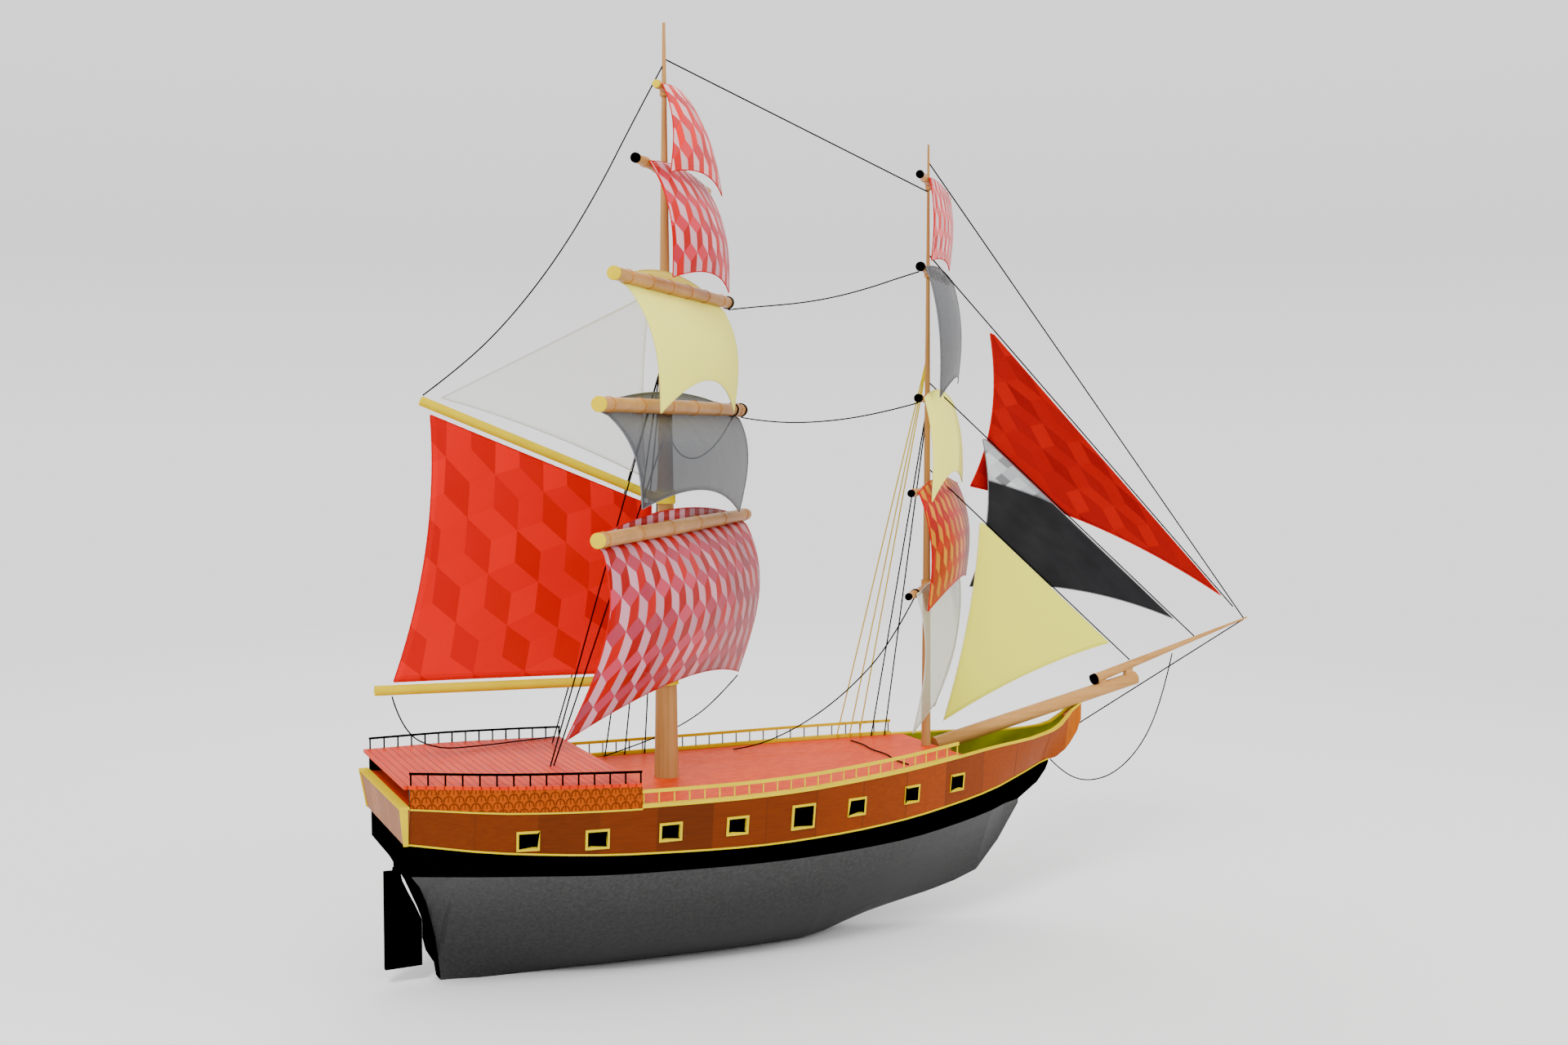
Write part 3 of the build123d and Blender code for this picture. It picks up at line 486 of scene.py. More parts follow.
# ---- Cloth ---------------------------------------------------------------------------------
def weave(f):
    """Threads crossing over and under, a folded hem, and soft creases."""
    place = f.cloth_place()
    u, v, w = f.parts(place)
    over = f.math("SINE", f.math("MULTIPLY", u, 2 * math.pi / CLOTH_THREAD))
    under = f.math("SINE", f.math("MULTIPLY", v, 2 * math.pi / CLOTH_THREAD))
    f.raise_by(f.math("MULTIPLY", over, under), 0.00004)
    hem = f.attribute("hem")
    stitch = f.math("MULTIPLY", f.between(hem, 0.0, 0.2),
                    f.math("SUBTRACT", 1.0, f.between(hem, 0.8, 1.0)))
    f.raise_by(stitch, -0.00025)
    f.raise_by(f.noise(place, 26, 2.0), 0.0012)
    return place, hem


def plain_cloth(name, colour, alpha=1.0, roughness=0.5, painted_glow=0.0):
    f = Finish(name, roughness)
    place, hem = weave(f)
    cloud = f.noise(place, 18, 2.0)
    base = linear(*colour)
    shade = tuple(c * 0.86 for c in base[:3]) + (1.0,)
    tint = f.mix(f.math("MULTIPLY", f.math("SUBTRACT", 1.0, hem), 0.25), base, shade)
    tint = f.mix(f.math("MULTIPLY", cloud, 0.25), tint, shade)
    thin = None
    if alpha < 1:
        thin = f.math("MULTIPLY_ADD", f.math("SUBTRACT", 1.0, hem), 0.15, alpha)
    # painted light: the cloth glows in its own colour, though it is no lamp, so that it looks as
    # bright as strongly lit cloth
    if painted_glow:
        f.put(f.shader.inputs["Emission Color"], base)
        f.shader.inputs["Emission Strength"].default_value = painted_glow
    return f.done(tint, roughness, thin)


def cube_cloth(name, top, left, right, size=0.021, spread=0.25, alpha=1.0, roughness=0.35):
    """Cloth printed with tumbling cubes: three lozenges to each six-sided cell."""
    f = Finish(name, roughness)
    place, hem = weave(f)
    grid = f.scaled(place, 1 / size)
    half = (0.5, math.sqrt(3) / 2, 1.0)
    back = (-0.5, -math.sqrt(3) / 2, -1.0)
    first = f.vector("WRAP", grid, half, back)
    second = f.vector("WRAP", f.vector("SUBTRACT", grid, half), half, back)
    flat = (1.0, 1.0, 0.0)
    first = f.vector("MULTIPLY", first, flat)
    second = f.vector("MULTIPLY", second, flat)
    nearer = f.math("LESS_THAN", f.vector("LENGTH", second, output=1),
                    f.vector("LENGTH", first, output=1))
    local = f.mix(nearer, first, second)
    x, y, z = f.parts(local)
    angle = f.math("ARCTAN2", y, x)
    third = f.math("DIVIDE", f.math("ADD", angle, math.pi / 2), 2 * math.pi / 3)
    face = f.math("FLOOR", f.math("WRAP", third, 3.0, 0.0))
    centre = f.vector("SUBTRACT", f.vector("MULTIPLY", grid, flat), local)
    centre = f.vector("FLOOR", f.vector("ADD", f.scaled(centre, 2.0), (0.5, 0.5, 0.5)))
    turn = f.nodes.new("ShaderNodeCombineXYZ")
    f.put(turn.inputs[2], face)
    shift = f.cell(f.vector("ADD", centre, turn.outputs[0]))
    colour = f.ramp(f.math("DIVIDE", f.math("ADD", face, 0.5), 3.0),
                    [(0.0, linear(*right)), (0.3334, linear(*top)),
                     (0.6667, linear(*left))], step=True)
    low = (1 - spread, 1 - spread, 1 - spread, 1)
    high = (1 + spread * 0.6, 1 + spread * 0.6, 1 + spread * 0.6, 1)
    colour = f.mix(1.0, colour, f.ramp(shift, [(0.0, low), (1.0, high)]), "MULTIPLY")
    thin = alpha if alpha == 1 else f.math("MULTIPLY_ADD", shift, 0.1, alpha - 0.05)
    return f.done(colour, roughness, thin)


YELLOW = paint("yellow_trim_paint", (226, 206, 0), 0.5, 0.08, 0.0)
BLACK = paint("black_matt_paint", (1, 1, 1), 0.7, 0.3, 0.0)
OLIVE = paint("olive_green_paint", (142, 146, 14), 0.5, 0.2)
GREY_POST = paint("grey_post_paint", (120, 122, 128), 0.5, 0.2)
MAST_WOOD = wood("mast_wood", (160, 128, 98), (190, 156, 124), along=(1, 1, 0.04))
YARD_WOOD = wood("yard_wood", (166, 130, 98), (196, 158, 124), (0, 0, -YARD_ANGLE),
                 (0.04, 1, 1))
SPRIT_WOOD = wood("bowsprit_wood", (166, 132, 100), (196, 160, 126), (0, 0.23, 0),
                  (0.04, 1, 1))
CORE_WOOD = wood("hull_core_wood", (120, 66, 34), (160, 96, 56), along=(0.05, 1, 1))
STEM_WOOD = wood("stem_wood", (152, 94, 62), (178, 114, 74), along=(1, 1, 0.06))
BLACK_THREAD = thread("black_thread", (4, 4, 4))
YELLOW_THREAD = thread("yellow_thread", (206, 190, 40))
TAN_THREAD = thread("tan_thread", (200, 146, 104))

NODE_FINISH = {
    "lower_hull": grey_hull(),
    "side_planking": side_planks(),
    "wale": BLACK,
    "stern_timbers": BLACK,
    "rudder_blade": BLACK,
    "rudder_stock": BLACK,
    "quarterdeck_rails": BLACK,
    "stem_head": STEM_WOOD,
    "transom": transom_boards(),
    "hull_core": CORE_WOOD,
    "main_deck": deck_weave(),
    "quarterdeck": deck_boards(),
    "quarterdeck_walls": carved_wall(),
    "bow_lining": OLIVE,
    "gun_ports": YELLOW,
    "hull_trims": YELLOW,
    "waist_rails": YELLOW,
    "main_mast": MAST_WOOD,
    "fore_mast": MAST_WOOD,
    "bowsprit": SPRIT_WOOD,
    "jib_boom": SPRIT_WOOD,
    "head_chocks": SPRIT_WOOD,
    "boom": YELLOW,
    "gaff": YELLOW,
    "stays": BLACK_THREAD,
    "shrouds": BLACK_THREAD,
}


def smooth(ob, degrees):
    """Rounds the shading of faces that meet at less than this angle."""
    mesh = ob.data
    mesh.shade_smooth()
    mesh.set_sharp_from_angle(angle=math.radians(degrees))


def solids_of(mesh):
    """The faces of each separate solid of a mesh."""
    owner = list(range(len(mesh.vertices)))

    def root(i):
        while owner[i] != i:
            owner[i] = owner[owner[i]]
            i = owner[i]
        return i

    place = {}
    for v in mesh.vertices:
        key = tuple(round(c, 6) for c in v.co)
        owner[v.index] = place.setdefault(key, v.index)
    for face in mesh.polygons:
        for v in face.vertices[1:]:
            owner[root(v)] = root(face.vertices[0])
    groups = {}
    for face in mesh.polygons:
        groups.setdefault(root(face.vertices[0]), []).append(face)
    return list(groups.values())


def second_finish(node, material, chosen):
    """Gives another finish to the solids or faces that the test picks."""
    mesh = NODES[node].data
    mesh.materials.append(material)
    for faces in solids_of(mesh):
        points = [mesh.vertices[v].co for face in faces for v in face.vertices]
        low = Vector([min(p[i] for p in points) for i in range(3)])
        high = Vector([max(p[i] for p in points) for i in range(3)])
        for face in faces:
            if chosen(low, high, face):
                face.material_index = 1


def inside_frame(low, high, face):
    """Whether a face is the back of a gun port, seen through its frame."""
    x, z = face.center.x, face.center.z
    rim = 0.0016
    return low.x + rim < x < high.x - rim and low.z + rim < z < high.z - rim


def port_post(low, high, face):
    """Whether a face is on a post of the port waist rail, which is grey."""
    return face.center.y > 0 and face.area < 3.2e-6 and abs(face.normal.z) < 0.3


def fore_shroud(low, high, face):
    """Whether a shroud is one of the yellow ones, which reach high up the fore mast."""
    return low.x > 0.14 and high.z > 0.39


def finish_nodes():
    for name, ob in NODES.items():
        material = NODE_FINISH.get(name)
        if material is None and name.endswith("_yard"):
            material = YARD_WOOD
        if material is None:
            continue
        ob.data.materials.clear()
        ob.data.materials.append(material)
        smooth(ob, 12 if name in ("side_planking", "lower_hull") else 32)
    second_finish("gun_ports", BLACK, inside_frame)
    second_finish("waist_rails", GREY_POST, port_post)
    second_finish("shrouds", YELLOW_THREAD, fore_shroud)


finish_nodes()


# ---- Ropes ---------------------------------------------------------------------------------
def link(ob):
    bpy.context.scene.collection.objects.link(ob)
    return ob


def mesh_object(name, points, faces, material, rounded=True):
    mesh = bpy.data.meshes.new(name)
    mesh.from_pydata([tuple(p) for p in points], [], faces)
    mesh.materials.append(material)
    if rounded:
        mesh.shade_smooth()
    return link(bpy.data.objects.new(name, mesh))


def spline_points(route):
    """The line that a NURBS spline through this route makes, in metres."""
    curve = bpy.data.curves.new("route", "CURVE")
    curve.dimensions = "3D"
    curve.resolution_u = 24
    spline = curve.splines.new("NURBS")
    spline.points.add(len(route) - 1)
    for point, (x, y, z) in zip(spline.points, route):
        point.co = (x * MM, y * MM, z * MM, 1)
    spline.order_u = 3
    spline.use_endpoint_u = True
    ob = bpy.data.objects.new("route", curve)
    mesh = bpy.data.meshes.new_from_object(ob)
    line = np.array([v.co for v in mesh.vertices], float)
    bpy.data.objects.remove(ob)
    bpy.data.meshes.remove(mesh)
    bpy.data.curves.remove(curve)
    return line


def even(line, step):
    """The same line with its points at even steps."""
    gone = np.concatenate([[0], np.cumsum(np.linalg.norm(np.diff(line, axis=0), axis=1))])
    at = np.linspace(0, gone[-1], max(3, int(gone[-1] / step) + 1))
    return np.stack([np.interp(at, gone, line[:, i]) for i in range(3)], 1)


def length_of(line):
    return float(np.linalg.norm(np.diff(line, axis=0), axis=1).sum())


def laid_rope(name, line, radius, material, pitch=0.0034, sides=12):
    """A three-strand rope: a tube whose outline winds as it goes along."""
    ahead = np.gradient(line, axis=0)
    ahead /= np.linalg.norm(ahead, axis=1)[:, None]
    side = np.cross(ahead[0], (0, 0, 1.0))
    if np.linalg.norm(side) < 0.1:
        side = np.cross(ahead[0], (1.0, 0, 0))
    step = length_of(line) / (len(line) - 1)
    turn = np.linspace(0, 2 * math.pi, sides, endpoint=False)
    rings = []
    for i, (point, way) in enumerate(zip(line, ahead)):
        side = side - way * (side @ way)
        side /= np.linalg.norm(side)
        up = np.cross(way, side)
        wound = turn - 2 * math.pi * i * step / pitch
        out = radius * (0.84 + 0.16 * np.abs(np.cos(1.5 * wound)))
        rings.append(point + (out * np.cos(turn))[:, None] * side
                     + (out * np.sin(turn))[:, None] * up)
    points = np.concatenate(rings)
    faces = []
    for i in range(len(line) - 1):
        for j in range(sides):
            k = (j + 1) % sides
            faces.append((i * sides + j, i * sides + k, (i + 1) * sides + k,
                          (i + 1) * sides + j))
    faces.append(tuple(reversed(range(sides))))
    faces.append(tuple(range((len(line) - 1) * sides, len(line) * sides)))
    return mesh_object(name, points, faces, material)


def coil(name, centre, axis, radius, body, turns=3.0, thick=0.0004):
    """A knot: a few turns of the line round a spar or a rail."""
    axis = np.array(axis, float) / np.linalg.norm(axis)
    side = np.cross(axis, (0.3, 0.2, 0.93))
    side /= np.linalg.norm(side)
    up = np.cross(axis, side)
    at = np.linspace(0, 1, int(26 * turns))
    turn = at * turns * 2 * math.pi
    run = (at - 0.5) * turns * thick * 2.1
    line = (np.array(centre) + np.outer(run, axis)
            + radius * (np.outer(np.cos(turn), side) + np.outer(np.sin(turn), up)))
    ob = laid_rope(name, line, thick, BLACK_THREAD, sides=8)
    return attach(ob, body)


def tied(name, node, line, start, end):
    """One rope along its line, which rides with its body when both its ends are tied to the same
    one, and otherwise stays where it lies.
    """
    ob = laid_rope(name, line, LINE_DIAMETER * MM / 2, BLACK_THREAD)
    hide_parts(node)
    if start == end:
        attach(ob, start)
    else:
        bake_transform(ob)
    return ob


def make_lines():
    for name, (route, start, end) in LINES.items():
        line = even(spline_points(route), 0.0006)
        if "root" in (start, end):
            tied(name, name, line, start, end)
            continue
        middle = len(line) // 2
        tied(name + "_aft_part", name, line[:middle + 1], start, "root")
        tied(name + "_fore_part", name, line[middle:][::-1], end, "root")


make_lines()


# ---- Sails ---------------------------------------------------------------------------------
def mast_radius(profile, height):
    return float(np.interp(height, [p[0] for p in profile], [p[1] for p in profile]))


def yard_place(name):
    """A yard's mast x and how far ahead of the mast's axis it lies, in millimetres."""
    fore = name.startswith("fore")
    height, half, radius, cap, rise = YARDS[name]
    mast = mast_radius(FORE_MAST if fore else MAIN_MAST, height)
    return (FORE_MAST_X if fore else 0.0), mast + radius + YARD_GAP


def yard_radius(name, along):
    """A yard's radius at this distance along it from the mast."""
    height, half, radius, cap, rise = YARDS[name]
    return radius * (1 - (1 - YARD_TAPER) * abs(along) / half)


def braced(mast_x, along, ahead, height):
    """A point given by its distance along and ahead of a braced yard."""
    c, s = math.cos(YARD_ANGLE), math.sin(YARD_ANGLE)
    return Vector((mast_x + along * c + ahead * s, along * s - ahead * c, height)) * MM


HEAD_BEHIND = ("main_upper_topsail", "main_lower_topsail", "main_course")


def square_point(name):
    """The point of a square sail at u, from starboard to port, and v, down from the head."""
    height, half_yard, radius, cap, rise = YARDS[name]
    half, starboard, port, belly, arch = SQUARE_SAILS[name]
    mast_x, offset = yard_place(name)
    head_ahead = offset if name in HEAD_BEHIND else offset + radius + HEAD_GAP
    wrap = 0.12 if name in HEAD_BEHIND else 0.0
    girth = radius + 0.45

    def point(u, v):
        if v < wrap:
            return behind(u, v / wrap)
        v = (v - wrap) / (1 - wrap)
        along, ahead, low = (a + (b - a) * (u + 1) / 2 for a, b in zip(starboard, port))
        s = half * u * (1 - v) + along * v
        w = head_ahead * (1 - v) + ahead * v
        w += belly * math.sin(math.pi * v ** 0.85) * (1 - 0.35 * u * u)
        w += 0.6 * belly * v * (1 - u * u)
        z = height * (1 - v) + low * v + arch * v * v * (1 - u * u)
        if wrap:
            z -= girth * (1 - v) ** 3
        else:
            z += rise * (1 - u * u) * (1 - v) ** 2
        w += 0.25 * math.sin(11 * math.pi * u) * (1 - v) ** 6
        return braced(mast_x, s, w, z)

    def behind(u, t):
        """The head itself, which stands up behind the yard and turns in under it."""
        top = height + rise * (1 - u * u)
        if t < 0.5:
            return braced(mast_x, half * u, offset - girth, top + (height - top) * t * 2)
        turn = (t - 0.5) * math.pi
        return braced(mast_x, half * u, offset - girth * math.cos(turn),
                      height - girth * math.sin(turn))

    return point


def stay_point(head, tack, clew, belly, hollow):
    """The point of a three-cornered sail at u, from luff to leech, and v, down."""
    head, tack, clew = Vector(head), Vector(tack), Vector(clew)
    forward = (tack - clew).normalized()

    def point(u, v):
        v = 0.02 + 0.98 * v
        luff = head.lerp(tack, v)
        leech = head.lerp(clew, v) + forward * hollow * 4 * v * (1 - v)
        p = luff.lerp(leech, (u + 1) / 2)
        t = (u + 1) / 2
        p.y += belly * 4 * t * (1 - t) * v * (1.3 - v)
        p.z += hollow * 4 * t * (1 - t) * v ** 3
        return p * MM

    return point


def spanker_point(throat, peak, clew, tack, belly, hollow):
    throat, peak, clew, tack = (Vector(p) for p in (throat, peak, clew, tack))

    def point(u, v):
        t = (u + 1) / 2
        luff = throat.lerp(tack, v)
        leech = peak.lerp(clew, v)
        leech.x += hollow * 4 * v * (1 - v)
        p = luff.lerp(leech, t)
        p.y += belly * math.sin(math.pi * t) * math.sin(math.pi * (0.15 + 0.7 * v))
        return p * MM

    return point


def flat_cut(rows):
    """The cut's width, length and area, from the distances over the cloth."""
    grid = np.array([[tuple(p) for p in row] for row in rows])
    across = np.linalg.norm(np.diff(grid, axis=1), axis=2).sum(1)
    down = np.linalg.norm(np.diff(grid, axis=0), axis=2).sum(0)
    a = grid[1:, 1:] - grid[:-1, :-1]
    b = grid[1:, :-1] - grid[:-1, 1:]
    area = float(np.linalg.norm(np.cross(a, b), axis=2).sum() / 2)
    length = float(down.max())
    return min(float(across.max()), 2 * area / length), length, area


def hem_shares(rows, width):
    """0 at the cloth's edge and 1 from a hem's width inwards."""
    grid = np.array([[tuple(p) for p in row] for row in rows])
    n, m = grid.shape[:2]
    shares = np.ones((n, m))
    for i in range(n):
        for j in range(m):
            gap = min(np.linalg.norm(grid[i, j] - grid[i, 0]),
                      np.linalg.norm(grid[i, j] - grid[i, -1]),
                      np.linalg.norm(grid[i, j] - grid[0, j]),
                      np.linalg.norm(grid[i, j] - grid[-1, j]))
            shares[i, j] = min(1.0, gap / width)
    return shares


def make_sail(name, node, point, body, slot, material, edge):
    """A cloth sail with its flat measures as its map, a hem, and a bolt rope sewn round it."""
    columns, lines = 44, 44
    rows = [[point(-1 + 2 * j / columns, i / lines) for j in range(columns + 1)]
            for i in range(lines + 1)]
    faces = []
    wide = columns + 1
    for i in range(lines):
        for j in range(columns):
            k = i * wide + j
            faces.append((k, k + wide, k + wide + 1, k + 1))
    ob = mesh_object(name, [p for row in rows for p in row], faces, material)
    grid = np.array([[tuple(p) for p in row] for row in rows])
    steps = np.linalg.norm(np.diff(grid, axis=1), axis=2)
    middle = columns // 2
    u_flat = np.concatenate([np.zeros((lines + 1, 1)), np.cumsum(steps, 1)], 1)
    u_flat = u_flat - u_flat[:, middle][:, None]
    drops = np.linalg.norm(np.diff(grid[:, middle], axis=0), axis=1)
    v_flat = -np.concatenate([[0], np.cumsum(drops)])
    layer = ob.data.uv_layers.new(name="cloth")
    for loop in ob.data.loops:
        i, j = divmod(loop.vertex_index, wide)
        layer.data[loop.index].uv = (u_flat[i, j], v_flat[i])
    hem = ob.data.attributes.new("hem", "FLOAT", "POINT")
    hem.data.foreach_set("value", hem_shares(rows, HEM).astype(np.float32).ravel())
    solid = ob.modifiers.new("thickness", "SOLIDIFY")
    solid.thickness = CLOTH_THICKNESS
    solid.offset = 0
    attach(ob, body)
    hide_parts(node)
    loop = rows[0] + [row[-1] for row in rows[1:]] + rows[-1][::-1][1:]
    loop += [row[0] for row in rows[::-1]][1:]
    rope = laid_rope(name + "_bolt_rope", even(np.array([tuple(p) for p in loop]), 0.0011),
                     BOLT_ROPE_RADIUS, edge, pitch=0.004, sides=8)
    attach(rope, body)
    width, length, area = flat_cut(rows)
    return ob


def two_tone_jib():
    """Dark grey cloth with glossy pale cubes over its upper part."""
    f = Finish("inner_jib_cloth_print", 0.25)
    place, hem = weave(f)
    x, y, z = f.parts(f.place())
    slope = f.math("MULTIPLY_ADD", f.math("SUBTRACT", x, 0.25), 0.25, z)
    slope = f.math("MULTIPLY_ADD", f.math("POWER", f.math("SUBTRACT", x, 0.25), 2.0), 1.4, slope)
    upper = f.between(slope, 0.3135, 0.3155)  # the border falls forward in a slight curve
    tile = f.vector("FLOOR", f.vector("DIVIDE", f.turned(place, (0, 0, 0.6)),
                                      (0.011, 0.008, 1.0)))
    pick = f.cell(tile)
    pale = f.ramp(pick, [(0.0, linear(120, 120, 122)), (0.3, linear(176, 178, 180)),
                         (1.0, linear(226, 228, 230))])
    dark = f.ramp(f.noise(place, 40, 2.0), [(0.3, linear(32, 32, 33)), (0.7, linear(42, 42, 43))])
    return f.done(f.mix(upper, dark, pale), 0.3)


RED_EDGE = thread("red_bolt_rope", (176, 30, 34))
CREAM_EDGE = thread("cream_bolt_rope", (244, 240, 176))
GREY_EDGE = thread("grey_bolt_rope", (120, 120, 122))
WHITE_EDGE = thread("white_bolt_rope", (214, 214, 206))
# the cream sails glow as painted light
CREAM = plain_cloth("cream_sailcloth", (255, 252, 176), painted_glow=0.45)
PALE_CREAM = plain_cloth("pale_cream_sailcloth", (240, 238, 158), painted_glow=0.22)
SHEER_GREY = plain_cloth("sheer_grey_sailcloth", (76, 77, 80), alpha=0.7, roughness=0.3)
SHEER_WHITE = plain_cloth("sheer_white_sailcloth", (214, 214, 196), alpha=0.42)
CLEAR = plain_cloth("clear_sailcloth", (235, 235, 232), alpha=0.16)
SAIL_CLOTH = {
    "main_royal": (cube_cloth("royal_cubes", (206, 92, 96), (238, 200, 202), (214, 30, 36)),
                   "red_cloth", RED_EDGE),
    "main_topgallant": (cube_cloth("topgallant_cubes", (196, 88, 96), (228, 188, 196),
                                   (186, 36, 44), 0.02), "red_cloth", RED_EDGE),
    "main_upper_topsail": (CREAM, "cream_cloth", CREAM_EDGE),
    "main_lower_topsail": (SHEER_GREY, "grey_cloth", GREY_EDGE),
    "main_course": (cube_cloth("course_cubes", (186, 96, 108), (216, 172, 182),
                               (176, 36, 46), 0.023, alpha=0.93), "red_cloth", RED_EDGE),
    "fore_royal": (cube_cloth("fore_royal_cubes", (222, 130, 130), (240, 206, 206),
                              (206, 84, 88), 0.016), "red_cloth", RED_EDGE),
    "fore_topgallant": (SHEER_GREY, "grey_cloth", GREY_EDGE),
    "fore_upper_topsail": (CREAM, "cream_cloth", CREAM_EDGE),
    "fore_lower_topsail": (cube_cloth("fore_topsail_cubes", (168, 66, 54), (206, 150, 104),
                                      (160, 30, 34), 0.019), "red_cloth", RED_EDGE),
    "fore_course": (SHEER_WHITE, "clear_cloth", WHITE_EDGE),
}
STAY_CLOTH = {
    "outer_jib": (cube_cloth("outer_jib_cubes", (146, 40, 44), (152, 46, 50),
                             (132, 24, 28), 0.034, 0.16), "red_cloth", RED_EDGE, "root"),
    "inner_jib": (two_tone_jib(), "dark_cloth", GREY_EDGE, "root"),
    "fore_staysail": (PALE_CREAM, "cream_cloth", CREAM_EDGE, "root"),
    "gaff_topsail": (CLEAR, "clear_cloth", WHITE_EDGE, "gaff"),
}


def make_sails():
    for name, (material, slot, edge) in SAIL_CLOTH.items():
        make_sail(name + "_cloth", name + "_sail", square_point(name), name, slot, material,
                  edge)
    for name, (material, slot, edge, body) in STAY_CLOTH.items():
        make_sail(name + "_cloth", name, stay_point(*STAY_SAILS[name]), body, slot, material,
                  edge)
    red = cube_cloth("spanker_cubes", (206, 16, 8), (208, 10, 10), (184, 2, 4), 0.034, 0.08)
    point = spanker_point(*SPANKER, SPANKER_BELLY, SPANKER_HOLLOW)
    make_sail("spanker_cloth", "spanker", point, "gaff", "red_cloth", red, RED_EDGE)


make_sails()


# ---- Fittings ------------------------------------------------------------------------------
def turned_piece(name, foot, top, outline, material, body, slot, sides=40):
    """A turned fitting on the line from foot to top; outline is (share along, radius)."""
    foot, top = Vector(foot), Vector(top)
    axis = (top - foot).normalized()
    side = axis.orthogonal().normalized()
    up = axis.cross(side)
    points, faces = [], []
    for share, radius in outline:
        middle = foot.lerp(top, share)
        for k in range(sides):
            a = 2 * math.pi * k / sides
            points.append(middle + radius * (math.cos(a) * side + math.sin(a) * up))
    for i in range(len(outline) - 1):
        for k in range(sides):
            n = (k + 1) % sides
            faces.append((i * sides + k, i * sides + n, (i + 1) * sides + n,
                          (i + 1) * sides + k))
    faces.append(tuple(reversed(range(sides))))
    faces.append(tuple(range((len(outline) - 1) * sides, len(outline) * sides)))
    ob = mesh_object(name, points, faces, material, rounded=False)
    smooth(ob, 35)
    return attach(ob, body)


def yard_cap(name):
    """The painted cap on the after end of a yard."""
    height, half, radius, colour, rise = YARDS[name]
    mast_x, offset = yard_place(name)
    end = radius * YARD_TAPER
    foot = braced(mast_x, -half + 1.6, offset, height)
    top = braced(mast_x, -half - 0.7, offset, height)
    outline = [(0.0, (end + 0.12) * MM), (0.1, (end + 0.3) * MM), (0.8, (end + 0.3) * MM),
               (0.95, (end + 0.1) * MM), (1.0, (end - 0.5) * MM)]
    material, slot = (YELLOW, "yellow_paint") if colour == "yellow" else (BLACK,
                                                                          "black_paint")
    turned_piece(name + "_cap", foot, top, outline, material, name, slot)


def jib_boom_cap():
    """The black cap on the heel of the jib boom."""
    heel = JIB_BOOM_HEEL
    axis = (JIB_BOOM_TIP - heel).normalized()
    outline = [(0.0, 3.3 * MM), (0.12, 4.0 * MM), (0.85, 4.1 * MM), (1.0, 3.85 * MM)]
    turned_piece("jib_boom_cap", (heel - axis * 0.6) * MM, (heel + axis * 3.0) * MM, outline,
                 BLACK, "root", "black_paint")


def robands(name):
    """Thin ties that hold the head of a square sail to its yard."""
    height = YARDS[name][0]
    half = SQUARE_SAILS[name][0]
    mast_x, offset = yard_place(name)
    axis = braced(0, 1, 0, 0)
    points, faces = [], []
    for i in range(ROBANDS):
        s = half * (-0.97 + 1.94 * i / (ROBANDS - 1))
        if abs(s) < COLLAR_REACH:
            continue
        centre = braced(mast_x, s, offset, height)
        thick = yard_radius(name, s) + 0.35
        ring = coil("tie", centre, axis, thick * MM, name, 1.0, 0.00022)
        start = len(points)
        points += [v.co.copy() for v in ring.data.vertices]
        faces += [tuple(start + k for k in face.vertices) for face in ring.data.polygons]
        bpy.data.objects.remove(ring)
    ob = mesh_object(name + "_robands", points, faces, TAN_THREAD)
    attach(ob, name)


def make_fittings():
    for name in YARDS:
        yard_cap(name)
        robands(name)
    jib_boom_cap()
    along = (math.cos(YARD_ANGLE), math.sin(YARD_ANGLE), 0)
    for line, name, s in KNOTS:
        height = YARDS[name][0]
        mast_x, offset = yard_place(name)
        thick = yard_radius(name, s) + 0.45
        coil(f"{name}_{line}_knot", braced(mast_x, s, offset, height), along, thick * MM, name)


make_fittings()


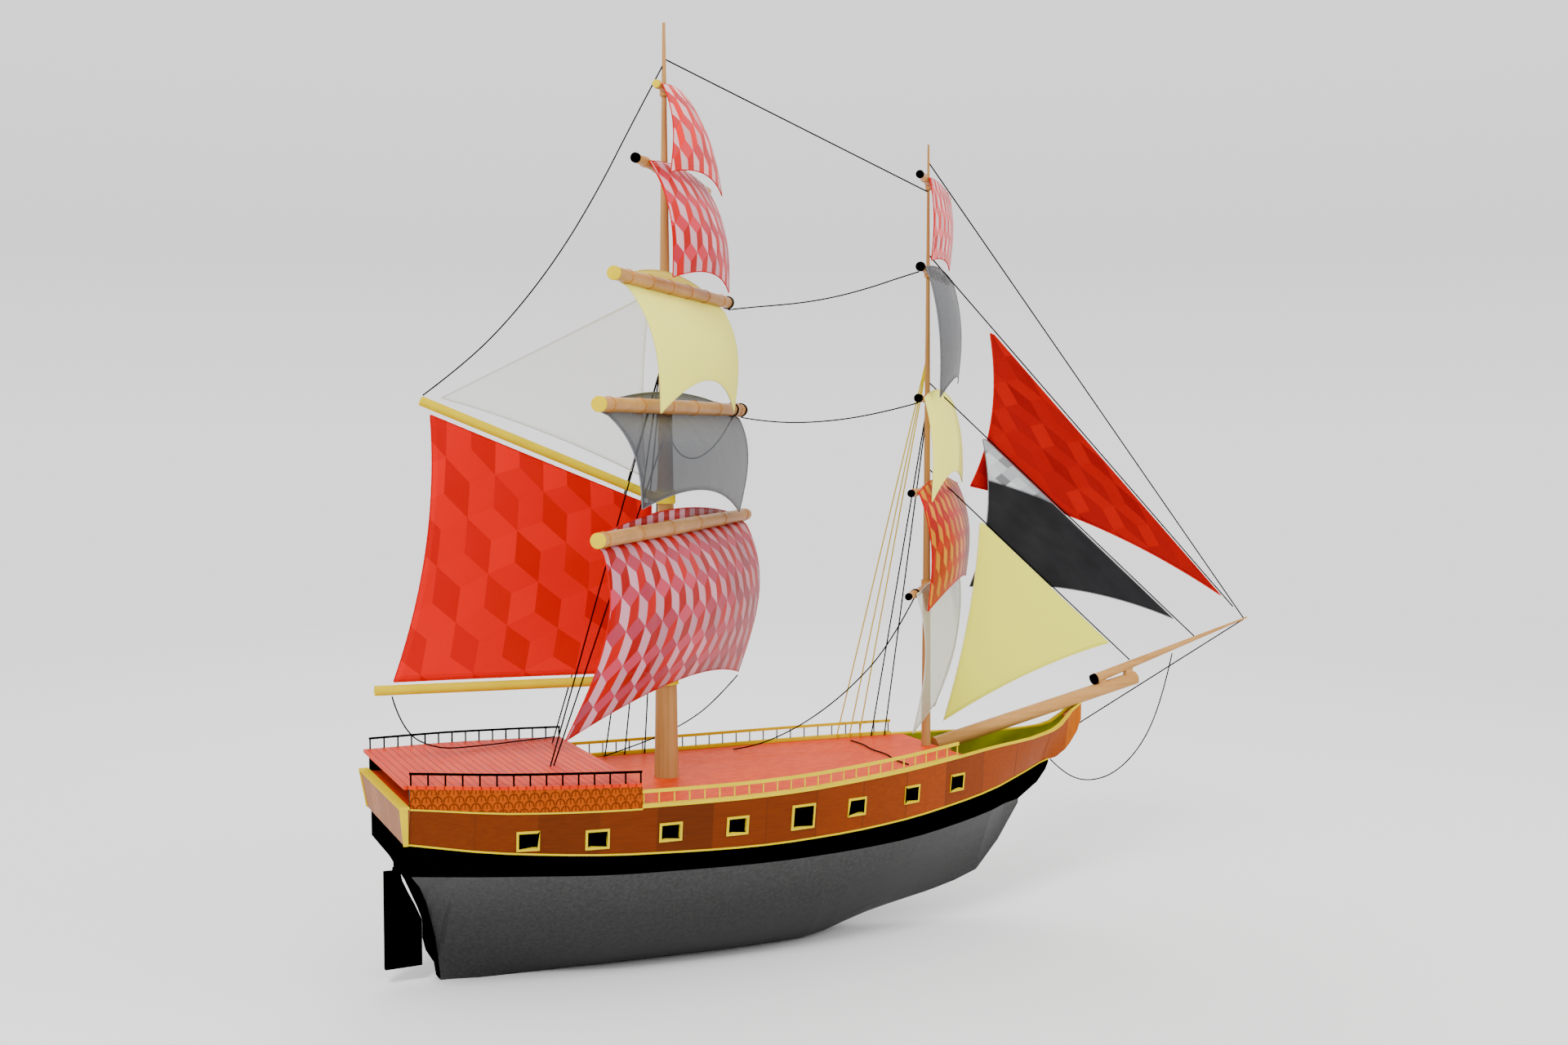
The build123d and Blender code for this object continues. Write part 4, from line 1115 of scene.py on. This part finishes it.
# ---- Studio --------------------------------------------------------------------------------
def make_floor():
    """A pale floor whose edge fades into the backdrop."""
    size = 3.0
    floor = mesh_object("floor", [(-size, -size, 0), (size, -size, 0), (size, size, 0),
                                  (-size, size, 0)], [(0, 1, 2, 3)], None, False)
    f = Finish("floor_paint", 0.6)
    reach = f.vector("LENGTH", f.place(), output=1)
    f.put(f.shader.inputs["Alpha"], f.math("SUBTRACT", 1.0, f.between(reach, 0.9, 2.6)))
    floor.data.materials.clear()
    pale = tuple(c / DEPTH for c in linear(232, 232, 232)[:3]) + (1.0,)
    floor.data.materials.append(f.done(pale))


def make_world():
    world = bpy.data.worlds.new("studio")
    bpy.context.scene.world = world
    world.use_nodes = True
    nodes = world.node_tree.nodes
    links = world.node_tree.links
    place = nodes.new("ShaderNodeTexCoord")
    split = nodes.new("ShaderNodeSeparateXYZ")
    ramp = nodes.new("ShaderNodeValToRGB")
    links.new(place.outputs["Generated"], split.inputs[0])
    half = nodes.new("ShaderNodeMath")
    half.operation = "MULTIPLY_ADD"
    half.inputs[1].default_value = 0.5
    half.inputs[2].default_value = 0.5
    links.new(split.outputs["Z"], half.inputs[0])
    links.new(half.outputs[0], ramp.inputs[0])
    tones = [(0.3, 1.0), (0.5, 1.0), (0.55, 0.84), (0.66, 0.98), (1.0, 1.0)]
    while len(ramp.color_ramp.elements) < len(tones):
        ramp.color_ramp.elements.new(0.5)
    for element, (at, tone) in zip(ramp.color_ramp.elements, tones):
        element.position = at
        element.color = (tone, tone, tone, 1)
    links.new(ramp.outputs[0], nodes["Background"].inputs["Color"])
    nodes["Background"].inputs["Strength"].default_value = 1.55


def make_light(name, place, size, power):
    data = bpy.data.lights.new(name, "AREA")
    data.shape = "DISK"
    data.size = size
    data.energy = power
    light = link(bpy.data.objects.new(name, data))
    light.location = place
    aim = Vector((0.05, 0, 0.25)) - Vector(place)
    light.rotation_euler = aim.to_track_quat("-Z", "Y").to_euler()


make_floor()
make_world()
make_light("key_light", (-1.1, -1.4, 2.2), 0.8, 62)
make_light("fill_light", (1.8, -1.2, 1.2), 1.4, 16)
make_light("back_light", (0.6, 1.9, 1.8), 1.4, 24)
